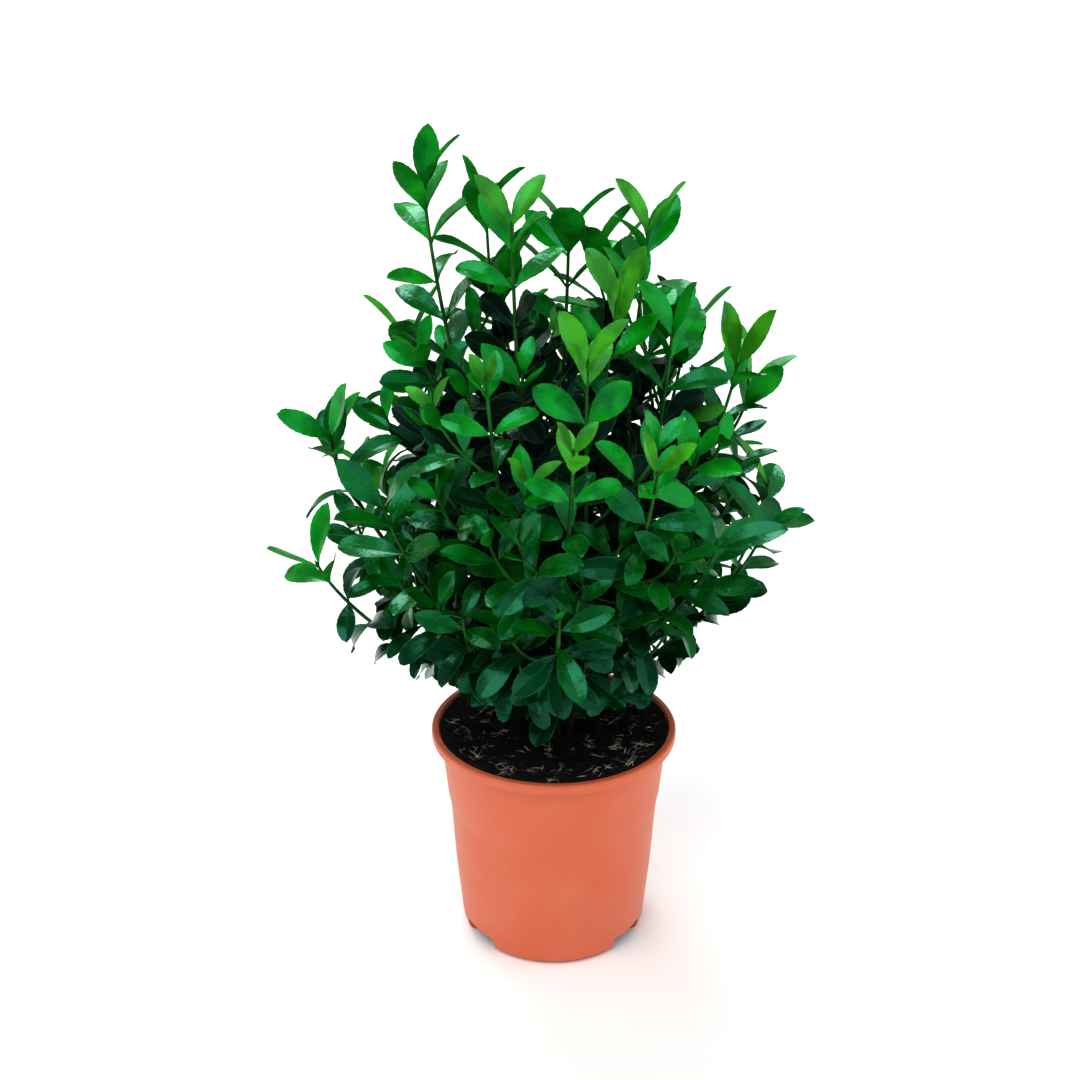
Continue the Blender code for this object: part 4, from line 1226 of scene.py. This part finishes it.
class SPINDLE_OT_twigs(bpy.types.Operator):
    """Grow the twigs of every mass, woody at the foot and green above"""
    bl_idname = "spindle.twigs"
    bl_label = "Twigs"

    def execute(self, context):
        foliage = context.scene.spindle_foliage
        vertices, edges, radii, woody = [], [], [], []
        for mass in grow_limbs().values():
            for number, path in enumerate(mass["shoots"]):
                whole = path_length(path)
                fine = stretch(path, 0.0, whole, TWIG_STEP)
                radii += [r * MM for r in shoot_radii(number, fine, foliage.tip_radius / MM)]
                radii.append(BUD_RADIUS * MM)
                fine.append(fine[-1] + (fine[-1] - fine[-2]).normalized() * BUD_LENGTH)
                start = len(vertices)
                vertices += fine
                edges += [(start + i, start + i + 1) for i in range(len(fine) - 1)]
                bare = WOODY_SHARE * whole if number == 0 else 0.0
                woody += [i * TWIG_STEP < bare or point.z < WOODY_Z for i, point in enumerate(fine)]
        twigs = new_object("twigs", vertices, [], edges)
        set_attribute(twigs.data, "thickness", "FLOAT", "POINT", radii)
        set_attribute(twigs.data, "woody", "FLOAT", "POINT", woody)
        bark = bpy.data.materials.get("furrowed_young_bark") or young_bark(foliage)
        apply_tree(twigs, self.twig_tree(), {
            "Sides": TWIG_SIDES, "Green bark": green_bark(foliage), "Old bark": bark})
        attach(twigs, "root")
        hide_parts(*["foliage_" + name for name in MASSES])
        return {"FINISHED"}

    def twig_tree(self):
        """Turns lines into round twigs, as thick as each point says."""
        tree, inlet = start_tree("twigs_tree", (
            ("Sides", "Int"), ("Green bark", "Material"), ("Old bark", "Material")))
        line = add_node(tree, "GeometryNodeMeshToCurve", {0: inlet["Geometry"]})
        width, woody = [
            add_node(tree, "GeometryNodeInputNamedAttribute", {"Name": key}, data_type="FLOAT").outputs[0]
            for key in ("thickness", "woody")]
        ring = add_node(tree, "GeometryNodeCurvePrimitiveCircle", {
            "Resolution": inlet["Sides"], "Radius": 1.0})
        skin = add_node(tree, "GeometryNodeCurveToMesh", {
            "Curve": line.outputs[0], "Profile Curve": ring.outputs[0], "Scale": width,
            "Fill Caps": True})
        smooth = add_node(tree, "GeometryNodeSetShadeSmooth", {0: skin.outputs[0]})
        # A face between a woody point and a green one is half woody, and stays green
        old = add_node(tree, "FunctionNodeCompare", {0: woody, 1: 0.5}, operation="GREATER_THAN")
        end_tree(tree, smooth, [(inlet["Green bark"], True), (inlet["Old bark"], old.outputs[0])])
        return tree


# For each green: the share of the pale green in the rib and in the underside, how rough the wax
# is on the upper face, and its gloss
LEAF_WAX = {
    # Painted shade: the deep leaves get little gloss, so the inside of the crown stays dark
    "deep": (0.12, 0.16, 0.35, 0.2),
    "dark": (0.18, 0.20, 0.25, 0.62),
    "middle": (0.16, 0.22, 0.23, 0.75),
    "fresh": (0.14, 0.26, 0.23, 0.75),
    "lime": (0.10, 0.20, 0.32, 0.6),
}
# The rib is a little rougher than the blade. The underside has hardly any wax
RIB_ROUGHER, RIB_GLOSS = 0.1, 0.5
BACK_ROUGHNESS, BACK_GLOSS = 0.6, 0.04


class SPINDLE_OT_leaves(bpy.types.Operator):
    """Place life-size leaves in opposite pairs on every twig, in five greens"""
    bl_idname = "spindle.leaves"
    bl_label = "Leaves"

    def execute(self, context):
        foliage = context.scene.spindle_foliage
        shapes = bpy.data.collections.new("leaf_shapes")
        for number in range(len(YOUNG_SHAPES) + len(GROWN_SHAPES)):
            shapes.objects.link(self.shape_object(number))
        tree = self.leaf_tree()
        leaves = place_leaves(foliage.leaf_length / MM, foliage.node_spacing / MM,
                              foliage.tip_radius / MM)
        for tone, (in_rib, in_back, roughness, gloss) in LEAF_WAX.items():
            base = getattr(foliage, tone)
            rib = between(base, foliage.rib, in_rib)
            back = between(base, foliage.underside, in_back)
            mine = [leaf for leaf in leaves if leaf["tone"] == tone]
            made = new_object("leaves_" + tone, [leaf["node"] for leaf in mine], [])
            for key, kind in (("turn", "QUATERNION"), ("size", "FLOAT"), ("shape", "INT")):
                set_attribute(made.data, key, kind, "POINT", [leaf[key] for leaf in mine])
            apply_tree(made, tree, {
                "Shapes": shapes,
                "Upper face": cuticle(f"waxed_{tone}_leaf", base, roughness, gloss),
                "Rib": cuticle(f"waxed_{tone}_rib", rib, roughness + RIB_ROUGHER, RIB_GLOSS),
                "Underside": cuticle(f"dull_{tone}_underside", back, BACK_ROUGHNESS, BACK_GLOSS),
            })
            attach(made, "root")
            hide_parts(*["foliage_" + name for name in MASSES])
        for shape in list(shapes.objects):
            bpy.data.objects.remove(shape)
        bpy.data.collections.remove(shapes)
        return {"FINISHED"}

    def shape_object(self, number):
        """One of the leaf shapes, smooth on each side and sharp along its margin."""
        vertices, faces, kinds, _ = leaf_shape(number)
        made = new_object(f"leaf_shape_{number}", vertices, faces, scale=1.0)
        bpy.context.scene.collection.objects.unlink(made)
        mesh = made.data
        mesh.shade_smooth()
        set_attribute(mesh, "leaf_part", "INT", "FACE", kinds)
        sides = {}
        for polygon in mesh.polygons:
            for key in polygon.edge_keys:
                sides.setdefault(key, set()).add(kinds[polygon.index] == UNDER)
        for edge in mesh.edges:
            edge.use_edge_sharp = len(sides[edge.key]) == 2
        return made

    def leaf_tree(self):
        """Sets a leaf on each point, turned and sized as it says, with a material for each part."""
        tree, inlet = start_tree("leaves_tree", (
            ("Shapes", "Collection"), ("Upper face", "Material"), ("Rib", "Material"),
            ("Underside", "Material")))
        turn, size, shape, part = [
            add_node(tree, "GeometryNodeInputNamedAttribute", {"Name": name}, data_type=kind).outputs[0]
            for name, kind in (("turn", "QUATERNION"), ("size", "FLOAT"), ("shape", "INT"),
                               ("leaf_part", "INT"))]
        choices = add_node(tree, "GeometryNodeCollectionInfo", {
            "Collection": inlet["Shapes"], "Separate Children": True, "Reset Children": True})
        copies = add_node(tree, "GeometryNodeInstanceOnPoints", {
            "Points": inlet["Geometry"], "Instance": choices.outputs[0], "Pick Instance": True,
            "Instance Index": shape, "Rotation": turn, "Scale": size})
        finishes = [(inlet["Upper face"], True)]
        for number, label in ((RIB, "Rib"), (UNDER, "Underside")):
            chosen = add_node(tree, "FunctionNodeCompare", {2: part, 3: number},
                              data_type="INT", operation="EQUAL")
            finishes.append((inlet[label], chosen.outputs[0]))
        end_tree(tree, copies, finishes)
        return tree


# Half the floor's side in metres, and how much darker its faint mottling is
FLOOR_REACH, FLOOR_SHADE = 30.0, 0.985
SENSOR_WIDTH = 36.0
WARM_WHITE, COOL_WHITE = (1.0, 0.995, 0.98), (0.97, 0.99, 1.0)
FILL_SHARE = 0.5


class SPINDLE_OT_stage(bpy.types.Operator):
    """Set the pale floor, the soft studio light and the camera"""
    bl_idname = "spindle.stage"
    bl_label = "Stage"

    def execute(self, context):
        scene = context.scene
        settings = scene.spindle_stage
        sides = ((-1, -1), (1, -1), (1, 1), (-1, 1))
        floor = new_object("floor", [(x * FLOOR_REACH, y * FLOOR_REACH, 0.0) for x, y in sides],
                           [(0, 1, 2, 3)], scale=1.0)
        # Matt studio paint, very faintly uneven
        paint = start_material("matt_studio_paint", Roughness=0.9, IOR=1.45)
        shade = [v * FLOOR_SHADE for v in settings.floor]
        floor.data.materials.append(
            mottle(paint, shade, settings.floor, band=(0.0, 1.0), size=333.0, detail=2.0))
        self.sun("key_light", settings.key, WARM_WHITE, (32.0, 0.0, -36.0), 50.0)
        self.sun("fill_light", settings.key * FILL_SHARE, COOL_WHITE, (54.0, 0.0, 68.0), 70.0)
        self.sun("rim_light", settings.rim, COOL_WHITE, (-33.0, 0.0, 20.0), 30.0)
        world = bpy.data.worlds.new("soft_surroundings")
        world.use_nodes = True
        sky = world.node_tree.nodes["Background"]
        sky.inputs["Color"].default_value = (*COOL_WHITE, 1.0)
        sky.inputs["Strength"].default_value = settings.sky
        scene.world = world
        scene.view_settings.view_transform = "Standard"
        scene.view_settings.look = "Medium High Contrast"
        lens = bpy.data.cameras.new("camera")
        lens.lens = settings.lens
        lens.sensor_width = SENSOR_WIDTH
        camera = bpy.data.objects.new("camera", lens)
        camera.location = Vector(EYE) * MM
        camera.rotation_euler = (math.pi / 2 - EYE_TILT, 0.0, 0.0)
        scene.collection.objects.link(camera)
        scene.camera = camera
        return {"FINISHED"}

    def sun(self, name, strength, tint, turn, spread):
        """A wide soft light, with its turn and its spread in degrees."""
        light = bpy.data.lights.new(name, "SUN")
        light.energy = strength
        light.color = tint
        light.angle = math.radians(spread)
        made = bpy.data.objects.new(name, light)
        made.rotation_euler = [math.radians(v) for v in turn]
        bpy.context.scene.collection.objects.link(made)


SETTINGS = {
    "spindle_pot": SpindlePotSettings,
    "spindle_peat": SpindlePeatSettings,
    "spindle_foliage": SpindleFoliageSettings,
    "spindle_stage": SpindleStageSettings,
}
OPERATORS = (SPINDLE_OT_pot, SPINDLE_OT_peat, SPINDLE_OT_wood, SPINDLE_OT_twigs, SPINDLE_OT_leaves,
             SPINDLE_OT_stage)


class SPINDLE_PT_panel(bpy.types.Panel):
    """Sizes, colours and pieces of the potted spindle"""
    bl_idname = "SPINDLE_PT_panel"
    bl_label = "Potted Spindle"
    bl_space_type = "VIEW_3D"
    bl_region_type = "UI"
    bl_category = "Spindle"

    def draw(self, context):
        for name in SETTINGS:
            group = getattr(context.scene, name)
            box = self.layout.box()
            for key in group.bl_rna.properties.keys():
                if key not in ("rna_type", "name"):
                    box.prop(group, key)
        for operator in OPERATORS:
            self.layout.operator(operator.bl_idname)


def register():
    for made in (*SETTINGS.values(), *OPERATORS, SPINDLE_PT_panel):
        bpy.utils.register_class(made)
    for name, group in SETTINGS.items():
        setattr(bpy.types.Scene, name, bpy.props.PointerProperty(type=group))


def unregister():
    for name in SETTINGS:
        delattr(bpy.types.Scene, name)
    for made in reversed((*SETTINGS.values(), *OPERATORS, SPINDLE_PT_panel)):
        bpy.utils.unregister_class(made)


def main():
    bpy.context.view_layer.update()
    register()
    for operator in (bpy.ops.spindle.pot, bpy.ops.spindle.peat, bpy.ops.spindle.wood,
                     bpy.ops.spindle.twigs, bpy.ops.spindle.leaves, bpy.ops.spindle.stage):
        operator()
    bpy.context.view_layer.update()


if __name__ == "__main__":
    main()
